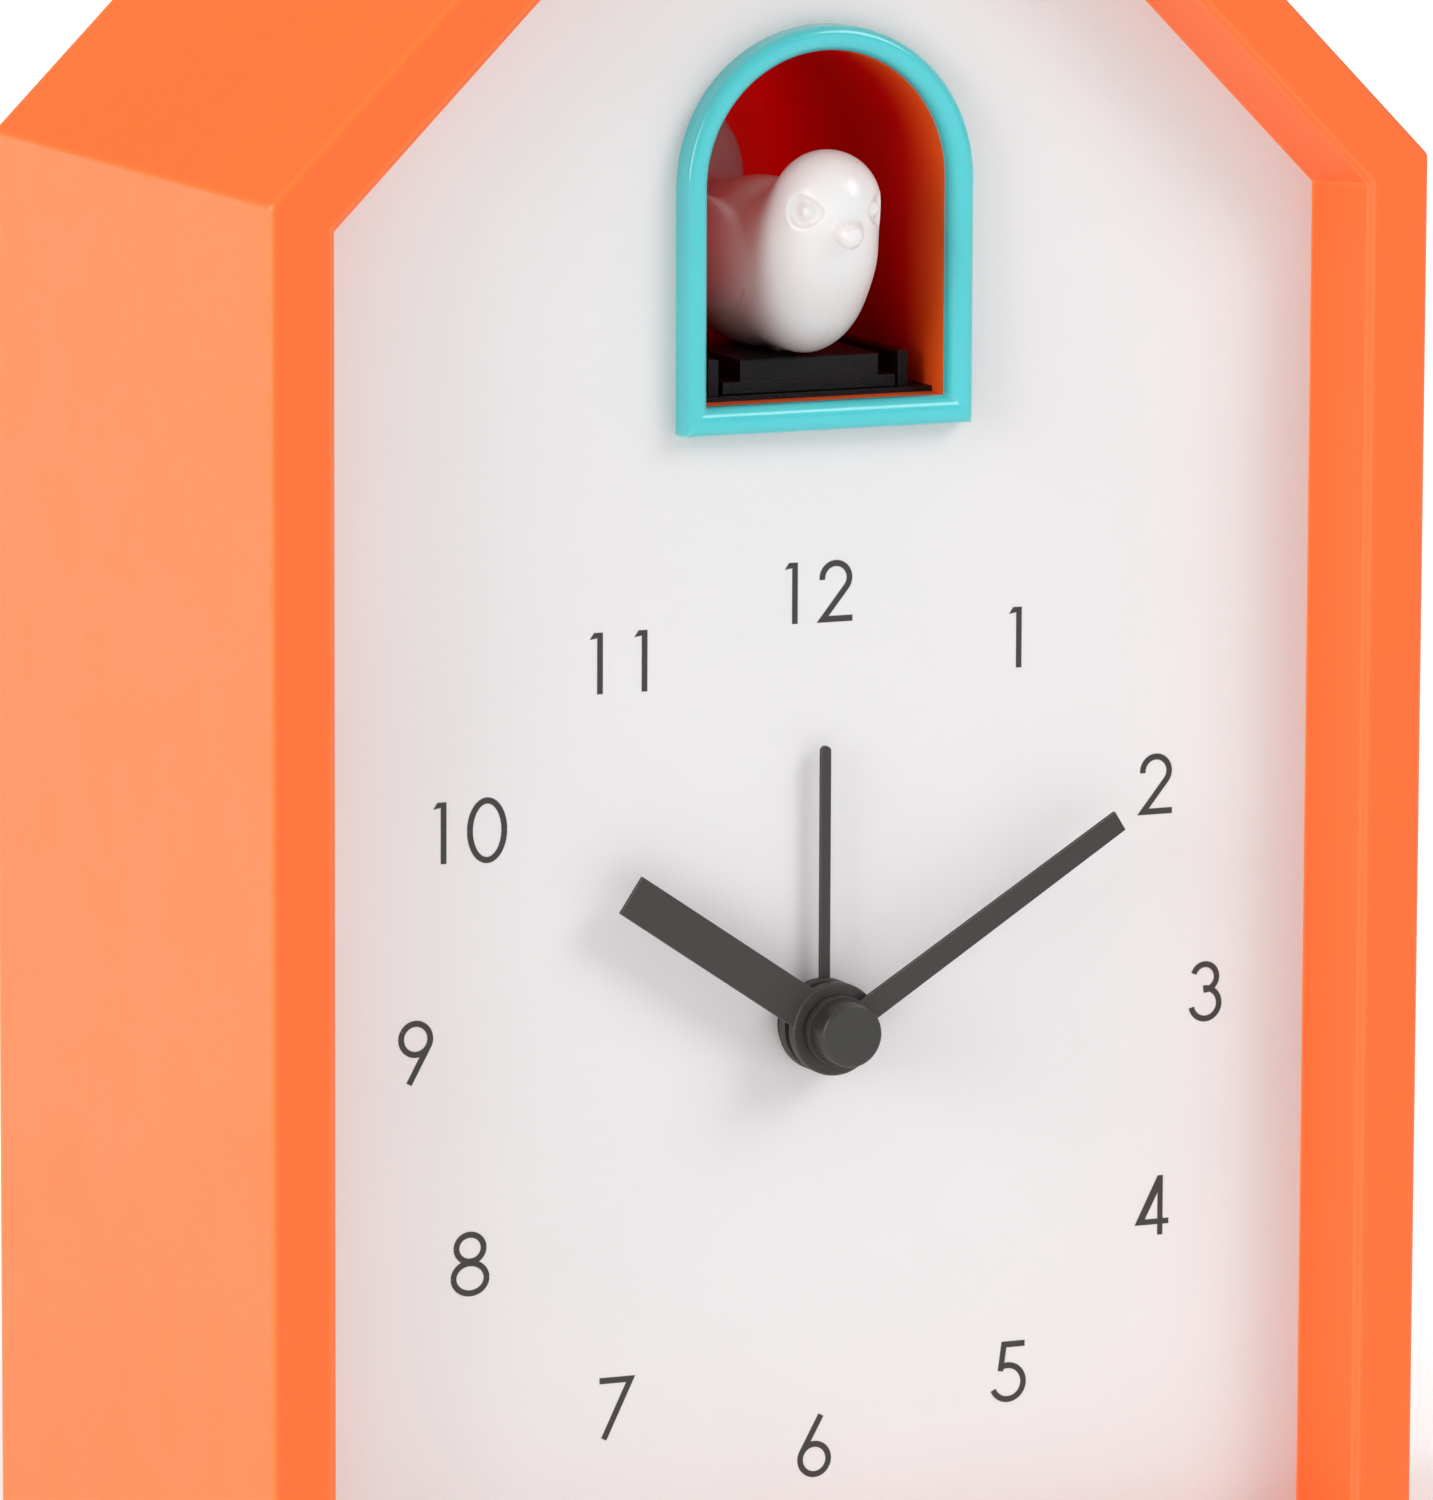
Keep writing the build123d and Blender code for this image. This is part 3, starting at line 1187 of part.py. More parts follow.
with BuildPart() as negative_contacts:
    for row, height in enumerate(battery_heights):
        turn = 1 if row == 0 else -1
        wall_x = -turn * box_half
        plate_x = wall_x + turn * contact_thickness
        touch_x = turn * (cell_start - press_clearance)
        leaf_x = touch_x - turn * 2 * contact_thickness
        with BuildSketch(Plane.XY.offset(height - spring_height / 2)):
            with BuildLine():
                Polyline((wall_x, battery_y - contact_width / 2), (wall_x, battery_y + contact_width / 2),
                         (touch_x, battery_y + 1), (touch_x, battery_y - 1), (leaf_x, battery_y - 1),
                         (leaf_x, battery_y + 0.6), (plate_x, battery_y + 0.4 * contact_width),
                         (plate_x, battery_y - contact_width / 2), close=True)
            make_face()
        extrude(amount=spring_height)
negative_contacts.part.label = "negative_contacts"
export_step(negative_contacts.part, "parts/negative_contacts.step")

# ---------------------------------------------------------------- circuit board, button and switch

board_front = board_y - board_thickness
with BuildPart() as circuit_board:
    block((-board_width / 2, board_width / 2), (board_front, board_y),
          (board_centre - board_height / 2, board_centre + board_height / 2))
    fillet(circuit_board.edges().filter_by(Axis.Y), board_corner)
    for x, z in board_bosses:
        disc(x, z, board_front, board_y, screw_hole, Mode.SUBTRACT)
circuit_board.part.label = "circuit_board"
export_step(circuit_board.part, "parts/circuit_board.step")

board_screws = set_of_screws([facing_front(board_front, x, z) for x, z in board_bosses],
                             board_thickness + board_screw_bite)
board_screws.label = "board_screws"
export_step(board_screws, "parts/board_screws.step")

with BuildPart() as board_parts:
    disc(0, board_centre, board_front - chip_height, board_front, chip_radius)
    across, up = capacitor_place
    for x in (-across, across):
        disc(x, board_centre + up, board_front - capacitor_height, board_front, capacitor_radius)
    across, up = crystal_place
    rod(board_front - crystal_radius, board_centre + up, across, across + crystal_length, crystal_radius)
    across, up = socket_place
    block((across, across + socket_size[0]), (board_front - chip_height, board_front),
          (board_centre + up, board_centre + up + socket_size[1]))
board_parts.part.label = "board_parts"
export_step(board_parts.part, "parts/board_parts.step")

stem_end = board_y + contact_block_floor + button_travel + stem_gap
with BuildPart() as button_switch:
    block((button_x - contact_block_half, button_x + contact_block_half),
          (board_y, board_y + contact_block_depth),
          (board_centre - contact_block_half, board_centre + contact_block_half))
    fillet(button_switch.edges().filter_by(Axis.Y), foot_edge)
    disc(button_x, board_centre, board_y + contact_block_floor, board_y + contact_block_depth,
         stem_radius + running_clearance, Mode.SUBTRACT)
button_switch.part.label = "button_switch"
export_step(button_switch.part, "parts/button_switch.step")

flange_front = cover_inside - button_flange
with BuildPart() as sound_button:
    disc(button_x, board_centre, flange_front, cover_face + button_proud, button_radius)
    fillet(sound_button.edges().group_by(Axis.Y)[-1], button_edge)
    disc(button_x, board_centre, flange_front - slide_clearance, cover_inside - slide_clearance,
         button_radius + button_flange_out)
    disc(button_x, board_centre, stem_end, flange_front, stem_radius)
sound_button.part.label = "sound_button"
export_step(sound_button.part, "parts/sound_button.step")

with BuildPart() as switch_body:
    block((switch_x - switch_half_x, switch_x + switch_half_x), (board_y, board_y + switch_depth),
          (board_centre - switch_half_z, board_centre + switch_half_z))
    block((switch_x - lever_reach, switch_x + lever_reach),
          (board_y + switch_depth - switch_slot_depth, board_y + switch_depth),
          (board_centre - lever_slot_half, board_centre + lever_slot_half), Mode.SUBTRACT)
switch_body.part.label = "switch_body"
export_step(switch_body.part, "parts/switch_body.step")

with BuildPart() as alarm_switch:
    lever_x = switch_x - switch_travel / 2
    block((lever_x - lever_half, lever_x + lever_half),
          (board_y + switch_depth - switch_slot_depth + slide_clearance, cover_face + lever_proud),
          (board_centre - lever_half, board_centre + lever_half))
    fillet(alarm_switch.edges().group_by(Axis.Y)[-1], lever_edge)
alarm_switch.part.label = "alarm_switch"
export_step(alarm_switch.part, "parts/alarm_switch.step")

# ---------------------------------------------------------------- speaker

speaker_front = cover_inside - speaker_flange
speaker_back = cover_inside - speaker_depth
basket_back = speaker_back + magnet_length
basket_inside = speaker_radius - basket_rim


def around_speaker(points):
    """Closed outline of (radius, y) points, turned about the speaker's axis."""
    with BuildPart() as turned:
        with BuildSketch(Plane.XY.offset(speaker_height)):
            with BuildLine():
                Polyline(*points, close=True)
            make_face()
        revolve(axis=Axis((0, 0, speaker_height), (0, 1, 0)))
    return turned.part


speaker_basket = around_speaker([
    (speaker_radius, cover_inside), (speaker_radius, speaker_front), (speaker_radius - 2, speaker_front),
    (magnet_radius + 1, basket_back), (magnet_radius - 3, basket_back),
    (magnet_radius - 3, basket_back + basket_wall), (magnet_radius + 0.6, basket_back + basket_wall),
    (basket_inside, speaker_front + 0.3), (basket_inside, cover_inside),
])
speaker_basket.label = "speaker_basket"
export_step(speaker_basket, "parts/speaker_basket.step")

cone_front = cover_inside - 0.6
cone_edge = basket_inside - slot_clearance
cone_bottom = basket_back + basket_wall + 1.2
dome_radius = 6.0
dome_rise = 1.4
speaker_cone = around_speaker([
    (cone_edge, cone_front), (cone_edge, cone_front - cone_wall), (dome_radius, cone_bottom),
    (0, cone_bottom + dome_rise), (0, cone_bottom + dome_rise + cone_wall),
    (dome_radius, cone_bottom + cone_wall + 0.1), (cone_edge - 0.3, cone_front),
])
speaker_cone.label = "speaker_cone"
export_step(speaker_cone, "parts/speaker_cone.step")

with BuildPart() as speaker_magnet:
    disc(0, speaker_height, speaker_back, basket_back, magnet_radius)
    chamfer(speaker_magnet.edges().group_by(Axis.Y)[0], foot_edge)
speaker_magnet.part.label = "speaker_magnet"
export_step(speaker_magnet.part, "parts/speaker_magnet.step")

speaker_plane = facing_front(cover_inside - speaker_boss_length, 0, speaker_height)
speaker_screw_planes = [Plane(speaker_plane.location * spot) for spot in
                        PolarLocations(speaker_boss_circle, speaker_screws_count, start_angle=90).locations]
speaker_screws = set_of_screws(speaker_screw_planes, speaker_boss_length - screw_end_gap, screw_radius,
                               speaker_screw_head)
speaker_screws.label = "speaker_screws"
export_step(speaker_screws, "parts/speaker_screws.step")
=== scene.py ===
from math import acos, atan2, cos, pi, radians, sin

import bmesh
import bpy
import numpy as np
from mathutils import Matrix, Vector
from mathutils.geometry import delaunay_2d_cdt
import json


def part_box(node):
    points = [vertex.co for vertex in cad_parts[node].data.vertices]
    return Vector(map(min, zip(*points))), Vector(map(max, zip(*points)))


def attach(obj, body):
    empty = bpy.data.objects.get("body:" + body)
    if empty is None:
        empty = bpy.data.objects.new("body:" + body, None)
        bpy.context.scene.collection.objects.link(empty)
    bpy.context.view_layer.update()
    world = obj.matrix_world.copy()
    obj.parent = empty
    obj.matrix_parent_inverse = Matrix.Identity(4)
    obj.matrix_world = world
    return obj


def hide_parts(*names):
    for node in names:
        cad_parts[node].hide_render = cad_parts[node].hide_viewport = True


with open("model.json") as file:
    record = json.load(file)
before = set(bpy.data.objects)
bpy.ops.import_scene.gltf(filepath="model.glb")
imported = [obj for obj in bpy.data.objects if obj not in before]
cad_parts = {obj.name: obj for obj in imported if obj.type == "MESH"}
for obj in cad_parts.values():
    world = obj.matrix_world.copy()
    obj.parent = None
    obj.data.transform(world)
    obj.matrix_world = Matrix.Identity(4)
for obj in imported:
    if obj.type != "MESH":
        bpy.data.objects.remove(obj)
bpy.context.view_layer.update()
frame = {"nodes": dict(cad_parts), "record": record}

MM = 0.001

dial_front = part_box("dial_plate")[0].y
cap_low, cap_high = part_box("hand_cap")
hand_axis = Vector(((cap_low.x + cap_high.x) / 2, 0, (cap_low.z + cap_high.z) / 2))


# ---------------------------------------------------------------- camera, light and floor


def place_camera():
    """A long lens, a little to the left of the clock and above it."""
    azimuth, elevation, distance, roll = radians(-24.19), radians(9.06), 1.0898, radians(0.22)
    aim = Vector((-0.0106, dial_front, 0.0900))
    away = Vector((sin(azimuth) * cos(elevation), -cos(azimuth) * cos(elevation), sin(elevation)))
    lens = bpy.data.cameras.new("portrait_camera")
    lens.sensor_width = 36
    lens.lens = 275.07
    lens.clip_start = 0.02
    camera = bpy.data.objects.new("portrait_camera", lens)
    turn = (-away).to_track_quat("-Z", "Y").to_matrix().to_4x4() @ Matrix.Rotation(roll, 4, "Z")
    camera.matrix_world = Matrix.Translation(aim + distance * away) @ turn
    bpy.context.scene.collection.objects.link(camera)
    bpy.context.scene.camera = camera


def place_sun(name, strength, softness, towards):
    light = bpy.data.lights.new(name, "SUN")
    light.energy = strength
    light.angle = radians(softness)
    sun = bpy.data.objects.new(name, light)
    sun.rotation_mode = "QUATERNION"
    sun.rotation_quaternion = Vector(towards).to_track_quat("-Z", "Y")
    bpy.context.scene.collection.objects.link(sun)


def light_studio():
    """A white dome, dimmer high up behind the clock, a soft key at the upper right and a fill at the left."""
    world = bpy.data.worlds.new("white_dome")
    world.use_nodes = True
    tree = world.node_tree
    dome = tree.nodes["Background"]
    dome.inputs["Strength"].default_value = 0.58
    direction = add_node(tree, "ShaderNodeTexCoord").outputs["Generated"]
    dimmest_way = (0.0, 0.85, 0.53)
    up_and_back = add_node(tree, "ShaderNodeVectorMath", {0: direction, 1: dimmest_way},
                           operation="DOT_PRODUCT")
    shadow = fit(tree, up_and_back.outputs["Value"], 0.45, 0.9, 0.0, 1.0)
    tree.links.new(blend_colours(tree, shadow, (1, 1, 1, 1), (0.45, 0.45, 0.45, 1)), dome.inputs["Color"])
    bpy.context.scene.world = world
    place_sun("soft_key", 0.96, 28, (-0.55, 0.62, -0.56))
    place_sun("left_fill", 4.3, 60, (0.97, 0.02, -0.14))
    bpy.context.scene.view_settings.view_transform = "Standard"


# ---------------------------------------------------------------- shader groups that finishes share


def add_node(tree, kind, inputs=None, **settings):
    """A node with these settings. An input is a value, or a socket to link from."""
    made = tree.nodes.new(kind)
    for name, value in settings.items():
        setattr(made, name, value)
    for name, value in (inputs or {}).items():
        if isinstance(value, bpy.types.NodeSocket):
            tree.links.new(value, made.inputs[name])
        else:
            made.inputs[name].default_value = value
    return made


def maths(tree, operation, first, second=0.0, clamp=False):
    made = add_node(tree, "ShaderNodeMath", {0: first, 1: second}, operation=operation, use_clamp=clamp)
    return made.outputs[0]


def fit(tree, value, low_in, high_in, low_out, high_out):
    """value, moved from one span of numbers to another and held inside it."""
    inputs = {"Value": value, "From Min": low_in, "From Max": high_in, "To Min": low_out, "To Max": high_out}
    return add_node(tree, "ShaderNodeMapRange", inputs).outputs["Result"]


def blend_colours(tree, factor, first, second):
    mixer = add_node(tree, "ShaderNodeMix", data_type="RGBA")
    for index, value in ((0, factor), (6, first), (7, second)):
        if isinstance(value, bpy.types.NodeSocket):
            tree.links.new(value, mixer.inputs[index])
        else:
            mixer.inputs[index].default_value = value
    return mixer.outputs[2]


def new_group(name, inputs, outputs):
    group = bpy.data.node_groups.new(name, "ShaderNodeTree")
    for label, kind, value in inputs:
        group.interface.new_socket(name=label, in_out="INPUT", socket_type=kind).default_value = value
    for label, kind in outputs:
        group.interface.new_socket(name=label, in_out="OUTPUT", socket_type=kind)
    return group, add_node(group, "NodeGroupInput").outputs, add_node(group, "NodeGroupOutput").inputs


def noise(tree, place, size, detail=2.0, roughness=0.5):
    """Noise whose lumps are about this size, in metres."""
    scale = maths(tree, "DIVIDE", 1.0, size)
    inputs = {"Vector": place, "Scale": scale, "Detail": detail, "Roughness": roughness}
    return add_node(tree, "ShaderNodeTexNoise", inputs).outputs["Fac"]


FLOAT = "NodeSocketFloat"


def build_moulded_skin():
    """Spark-eroded grain of a moulding, and the slow drift in its colour and gloss."""
    group, given, result = new_group(
        "moulded_skin",
        [("Grain Size", FLOAT, 0.0003), ("Drift Size", FLOAT, 0.03)],
        [("Grain", FLOAT), ("Drift", FLOAT)],
    )
    place = add_node(group, "ShaderNodeTexCoord").outputs["Object"]
    fine = noise(group, place, given["Grain Size"], detail=3.0, roughness=0.6)
    drift = noise(group, place, given["Drift Size"], detail=2.0)
    group.links.new(fine, result["Grain"])
    group.links.new(fit(group, drift, 0.3, 0.7, 0.0, 1.0), result["Drift"])
    return group


def build_painted_edge_highlight():
    """Mask for a painted highlight where a moulding turns over its edges: lighter colour that stands in for
    light caught on the rounding and glowing through the thin plastic.
    """
    group, given, result = new_group(
        "painted_edge_highlight", [("Radius", FLOAT, 0.0006), ("Gain", FLOAT, 3.0)], [("Painted Highlight", FLOAT)]
    )
    rounded = add_node(group, "ShaderNodeBevel", {"Radius": given["Radius"]}, samples=6).outputs["Normal"]
    flat = add_node(group, "ShaderNodeNewGeometry").outputs["Normal"]
    alike = add_node(group, "ShaderNodeVectorMath", {0: rounded, 1: flat}, operation="DOT_PRODUCT")
    turned = maths(group, "SUBTRACT", 1.0, alike.outputs["Value"])
    group.links.new(maths(group, "MULTIPLY", turned, given["Gain"], clamp=True), result["Painted Highlight"])
    return group


def build_handling():
    """Faint marks that hands leave on a surface, as a change in gloss."""
    group, given, result = new_group("handling", [("Mark Size", FLOAT, 0.012)], [("Marks", FLOAT)])
    place = add_node(group, "ShaderNodeTexCoord").outputs["Object"]
    marks = noise(group, place, given["Mark Size"], detail=5.0, roughness=0.65)
    group.links.new(fit(group, marks, 0.45, 0.7, 0.0, 1.0), result["Marks"])
    return group


def build_drawn_metal():
    """Fine lines that rolling, drawing or turning leaves along one direction."""
    group, given, result = new_group(
        "drawn_metal",
        [("Line Width", FLOAT, 0.00015), ("Along X", FLOAT, 0.05), ("Along Y", FLOAT, 1.0),
         ("Along Z", FLOAT, 1.0)],
        [("Lines", FLOAT), ("Cloud", FLOAT)],
    )
    place = add_node(group, "ShaderNodeTexCoord").outputs["Object"]
    ways = {0: given["Along X"], 1: given["Along Y"], 2: given["Along Z"]}
    stretch = add_node(group, "ShaderNodeCombineXYZ", ways).outputs[0]
    pulled = add_node(group, "ShaderNodeVectorMath", {0: place, 1: stretch}, operation="MULTIPLY").outputs[0]
    group.links.new(noise(group, pulled, given["Line Width"], detail=2.0), result["Lines"])
    group.links.new(fit(group, noise(group, place, 0.004, detail=3.0), 0.35, 0.7, 0.0, 1.0), result["Cloud"])
    return group


groups = {
    "skin": build_moulded_skin(),
    "edge_highlight": build_painted_edge_highlight(),
    "handling": build_handling(),
    "metal": build_drawn_metal(),
}


# ---------------------------------------------------------------- finishes


def colour(red, green, blue):
    """Linear colour from the 0 to 255 values of a colour chart."""
    def linear(value):
        value = value / 255
        return value / 12.92 if value <= 0.04045 else ((value + 0.055) / 1.055) ** 2.4
    return (linear(red), linear(green), linear(blue), 1.0)


def shade(base, amount):
    return tuple(min(1.0, value * amount) for value in base[:3]) + (1.0,)


def new_finish(name, **constants):
    """A material with one Principled shader whose plain sockets are set here."""
    material = bpy.data.materials.new(name)
    material.use_nodes = True
    tree = material.node_tree
    shader = tree.nodes["Principled BSDF"]
    for socket, value in constants.items():
        shader.inputs[socket.replace("_", " ")].default_value = value
    return material, tree, shader


def use_group(tree, key, **values):
    placed = add_node(tree, "ShaderNodeGroup", node_tree=groups[key])
    for label, value in values.items():
        placed.inputs[label.replace("_", " ")].default_value = value
    return placed.outputs


def set_bump(tree, shader, height, depth):
    bump = add_node(tree, "ShaderNodeBump", {"Height": height, "Distance": depth, "Strength": 1.0})
    tree.links.new(bump.outputs["Normal"], shader.inputs["Normal"])


def moulded(name, base, roughness, grain=0.0003, depth=0.000006, drift=0.03, edge_highlight=None, highlight_radius=0.0007,
            highlight_gain=2.5, marks=0.06, **constants):
    """Moulded plastic: grain, colour drift, handling marks and, if a highlight colour is given, lighter edges
    that are a painted highlight.
    """
    material, tree, shader = new_finish(name, **constants)
    skin = use_group(tree, "skin", Grain_Size=grain, Drift_Size=drift)
    handling = use_group(tree, "handling")
    body = blend_colours(tree, skin["Drift"], shade(base, 0.965), base)
    body = blend_colours(tree, fit(tree, skin["Grain"], 0.35, 0.65, 0.0, 0.10), body, shade(base, 0.8))
    # Painted highlight: the colour turns lighter over rounded edges.
    if edge_highlight:
        light = use_group(tree, "edge_highlight", Radius=highlight_radius, Gain=highlight_gain)["Painted Highlight"]
        body = blend_colours(tree, light, body, edge_highlight)
    tree.links.new(body, shader.inputs["Base Color"])
    gloss = maths(tree, "ADD", fit(tree, skin["Grain"], 0.3, 0.7, roughness - 0.03, roughness + 0.03),
                  fit(tree, handling["Marks"], 0.0, 1.0, 0.0, marks))
    tree.links.new(gloss, shader.inputs["Roughness"])
    set_bump(tree, shader, skin["Grain"], depth)
    return material


def metal(name, base, roughness, line=0.00015, along=(0.05, 1.0, 1.0), depth=0.000003, stain=None,
          **constants):
    """Drawn, rolled or turned metal with lines along one direction and a faint cloud of stain."""
    material, tree, shader = new_finish(name, Metallic=1.0, **constants)
    drawn = use_group(tree, "metal", Line_Width=line, Along_X=along[0], Along_Y=along[1], Along_Z=along[2])
    body = blend_colours(tree, fit(tree, drawn["Lines"], 0.3, 0.7, 0.0, 0.5), base, shade(base, 0.72))
    stained = fit(tree, drawn["Cloud"], 0.0, 1.0, 0.0, 0.35)
    body = blend_colours(tree, stained, body, stain or shade(base, 0.6))
    tree.links.new(body, shader.inputs["Base Color"])
    gloss = fit(tree, drawn["Cloud"], 0.0, 1.0, roughness, roughness + 0.15)
    tree.links.new(gloss, shader.inputs["Roughness"])
    set_bump(tree, shader, drawn["Lines"], depth)
    return material


def object_axes(tree):
    """X, Y and Z of the surface in the clock's own frame."""
    place = add_node(tree, "ShaderNodeTexCoord").outputs["Object"]
    return add_node(tree, "ShaderNodeSeparateXYZ", {0: place}).outputs


def bird_gloss():
    """Glossy white polystyrene with a faint mould seam down the middle, and painted shade that darkens the
    bird towards its base.
    """
    white = colour(227, 228, 228)
    material, tree, shader = new_finish("bird_white", Specular_IOR_Level=0.5, Coat_Roughness=0.12)
    skin = use_group(tree, "skin", Grain_Size=0.0012, Drift_Size=0.006)
    handling = use_group(tree, "handling", Mark_Size=0.004)
    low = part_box("bird")[0]
    body = blend_colours(tree, skin["Drift"], shade(white, 0.975), white)
    # Painted shade: darker low on the body, towards the carriage.
    lower = fit(tree, object_axes(tree)["Z"], low.z + 0.002, low.z + 0.013, 1.0, 0.0)
    body = blend_colours(tree, lower, body, shade(white, 0.8))
    tree.links.new(body, shader.inputs["Base Color"])
    tree.links.new(fit(tree, handling["Marks"], 0.0, 1.0, 0.29, 0.32), shader.inputs["Roughness"])
    tree.links.new(fit(tree, skin["Drift"], 0.0, 1.0, 0.18, 0.24), shader.inputs["Coat Weight"])
    across = maths(tree, "ABSOLUTE", object_axes(tree)["X"])
    seam = fit(tree, across, 0.00004, 0.00012, 0.6, 0.0)
    height = maths(tree, "ADD", maths(tree, "MULTIPLY", skin["Grain"], 0.12), seam)
    set_bump(tree, shader, height, 0.00003)
    return material


def chamber_lining():
    """Orange-red plastic with painted light: orange near the window where light reaches it, painted shade of
    deep red further in, and a faint painted red glow deepest in, standing in for light bouncing inside the
    chamber.
    """
    painted_lit_orange, red, deep = colour(240, 100, 30), colour(235, 6, 2), colour(205, 3, 2)
    material, tree, shader = new_finish("chamber_red", Specular_IOR_Level=0.35, Emission_Strength=1.0)
    low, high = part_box("bird_chamber")
    skin = use_group(tree, "skin", Grain_Size=0.0005, Drift_Size=0.02)
    handling = use_group(tree, "handling")
    depth = object_axes(tree)["Y"]
    # Painted light and shade: orange near the window, deep red further in.
    body = blend_colours(tree, fit(tree, depth, low.y, low.y + 0.009, 0.0, 1.0), painted_lit_orange, red)
    body = blend_colours(tree, maths(tree, "MULTIPLY", skin["Drift"], 0.15), body, deep)
    tree.links.new(body, shader.inputs["Base Color"])
    # Painted glow: a faint red emission deepest in, though the lining is no lamp.
    far_in = fit(tree, depth, high.y - 0.022, high.y - 0.004, 0.0, 1.0)
    painted_glow = blend_colours(tree, far_in, (0, 0, 0, 1), (0.12, 0, 0, 1))
    tree.links.new(painted_glow, shader.inputs["Emission Color"])
    tree.links.new(fit(tree, handling["Marks"], 0.0, 1.0, 0.34, 0.44), shader.inputs["Roughness"])
    set_bump(tree, shader, skin["Grain"], 0.000005)
    return material


def battery_foil():
    """Printed foil sleeve: a dark body with a copper band at the cell's positive end, and no lettering."""
    dark, copper = colour(44, 47, 54), colour(186, 120, 66)
    material, tree, shader = new_finish("battery_wrap", Metallic=0.35)
    axes = object_axes(tree)
    low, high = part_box("battery_cells")
    upper = maths(tree, "GREATER_THAN", axes["Z"], (low.z + high.z) / 2)
    way = maths(tree, "SUBTRACT", 1.0, maths(tree, "MULTIPLY", upper, 2.0))
    along = maths(tree, "MULTIPLY", axes["X"], way)
    band = fit(tree, along, 0.0120, 0.0122, 0.0, 1.0)
    drawn = use_group(tree, "metal", Line_Width=0.0006)
    body = blend_colours(tree, band, dark, copper)
    body = blend_colours(tree, fit(tree, drawn["Lines"], 0.3, 0.7, 0.0, 0.25), body, shade(dark, 0.6))
    tree.links.new(body, shader.inputs["Base Color"])
    tree.links.new(fit(tree, drawn["Cloud"], 0.0, 1.0, 0.22, 0.38), shader.inputs["Roughness"])
    set_bump(tree, shader, drawn["Lines"], 0.00001)
    return material


def board_mask():
    """Green solder mask over copper tracks."""
    green, track = colour(24, 78, 46), colour(58, 122, 74)
    material, tree, shader = new_finish("board_green", Coat_Weight=0.4, Coat_Roughness=0.15)
    place = add_node(tree, "ShaderNodeTexCoord").outputs["Object"]
    cells = add_node(tree, "ShaderNodeTexVoronoi", {"Vector": place, "Scale": 260.0}, distance="MANHATTAN",
                     feature="DISTANCE_TO_EDGE")
    tracks = fit(tree, cells.outputs["Distance"], 0.08, 0.11, 1.0, 0.0)
    skin = use_group(tree, "skin", Grain_Size=0.0005, Drift_Size=0.01)
    body = blend_colours(tree, tracks, green, track)
    tree.links.new(blend_colours(tree, maths(tree, "MULTIPLY", skin["Drift"], 0.3), body, shade(green, 0.7)),
                   shader.inputs["Base Color"])
    tree.links.new(fit(tree, skin["Grain"], 0.3, 0.7, 0.28, 0.4), shader.inputs["Roughness"])
    set_bump(tree, shader, tracks, 0.00003)
    return material


def wound_copper():
    """Enamelled wire wound about the coil's length, with painted shade in the grooves between turns."""
    bright, deep = colour(196, 104, 52), colour(112, 50, 24)
    material, tree, shader = new_finish("copper", Metallic=1.0)
    turns = maths(tree, "SINE", maths(tree, "MULTIPLY", object_axes(tree)["X"], 2 * pi / 0.0002))
    drawn = use_group(tree, "metal", Along_X=1.0, Along_Z=0.1)
    # Painted shade: darker between the turns of wire, brighter on their crowns.
    body = blend_colours(tree, fit(tree, turns, -1.0, 0.4, 0.0, 1.0), deep, bright)
    tree.links.new(blend_colours(tree, maths(tree, "MULTIPLY", drawn["Cloud"], 0.3), body, deep),
                   shader.inputs["Base Color"])
    tree.links.new(fit(tree, drawn["Lines"], 0.3, 0.7, 0.25, 0.4), shader.inputs["Roughness"])
    set_bump(tree, shader, turns, 0.00003)
    return material


def speaker_cone_paper():
    """Pressed paper with fibres and rings about the speaker's axis."""
    dark, pale = colour(40, 38, 36), colour(74, 70, 66)
    material, tree, shader = new_finish("speaker_paper", Sheen_Weight=0.2)
    low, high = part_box("speaker_cone")
    centre = (low + high) / 2
    axes = object_axes(tree)
    across = maths(tree, "SUBTRACT", axes["X"], centre.x)
    up = maths(tree, "SUBTRACT", axes["Z"], centre.z)
    radius = maths(tree, "SQRT", maths(tree, "ADD", maths(tree, "MULTIPLY", across, across),
                                       maths(tree, "MULTIPLY", up, up)))
    rings = maths(tree, "SINE", maths(tree, "MULTIPLY", radius, 2 * pi / 0.0016))
    skin = use_group(tree, "skin", Grain_Size=0.0004, Drift_Size=0.004)
    tree.links.new(blend_colours(tree, fit(tree, skin["Grain"], 0.4, 0.7, 0.0, 1.0), dark, pale),
                   shader.inputs["Base Color"])
    tree.links.new(fit(tree, skin["Drift"], 0.0, 1.0, 0.8, 0.95), shader.inputs["Roughness"])
    set_bump(tree, shader, maths(tree, "ADD", rings, skin["Grain"]), 0.00006)
    return material


def floor_paint():
    """Pale matt studio floor."""
    pale = colour(252, 252, 252)
    material, tree, shader = new_finish("pale_floor", Specular_IOR_Level=0.1, Emission_Strength=0.2,
                                        Emission_Color=(1, 1, 1, 1))
    skin = use_group(tree, "skin", Grain_Size=0.002, Drift_Size=0.4)
    tree.links.new(blend_colours(tree, skin["Drift"], shade(pale, 0.985), pale), shader.inputs["Base Color"])
    tree.links.new(fit(tree, skin["Grain"], 0.3, 0.7, 0.85, 0.95), shader.inputs["Roughness"])
    return material


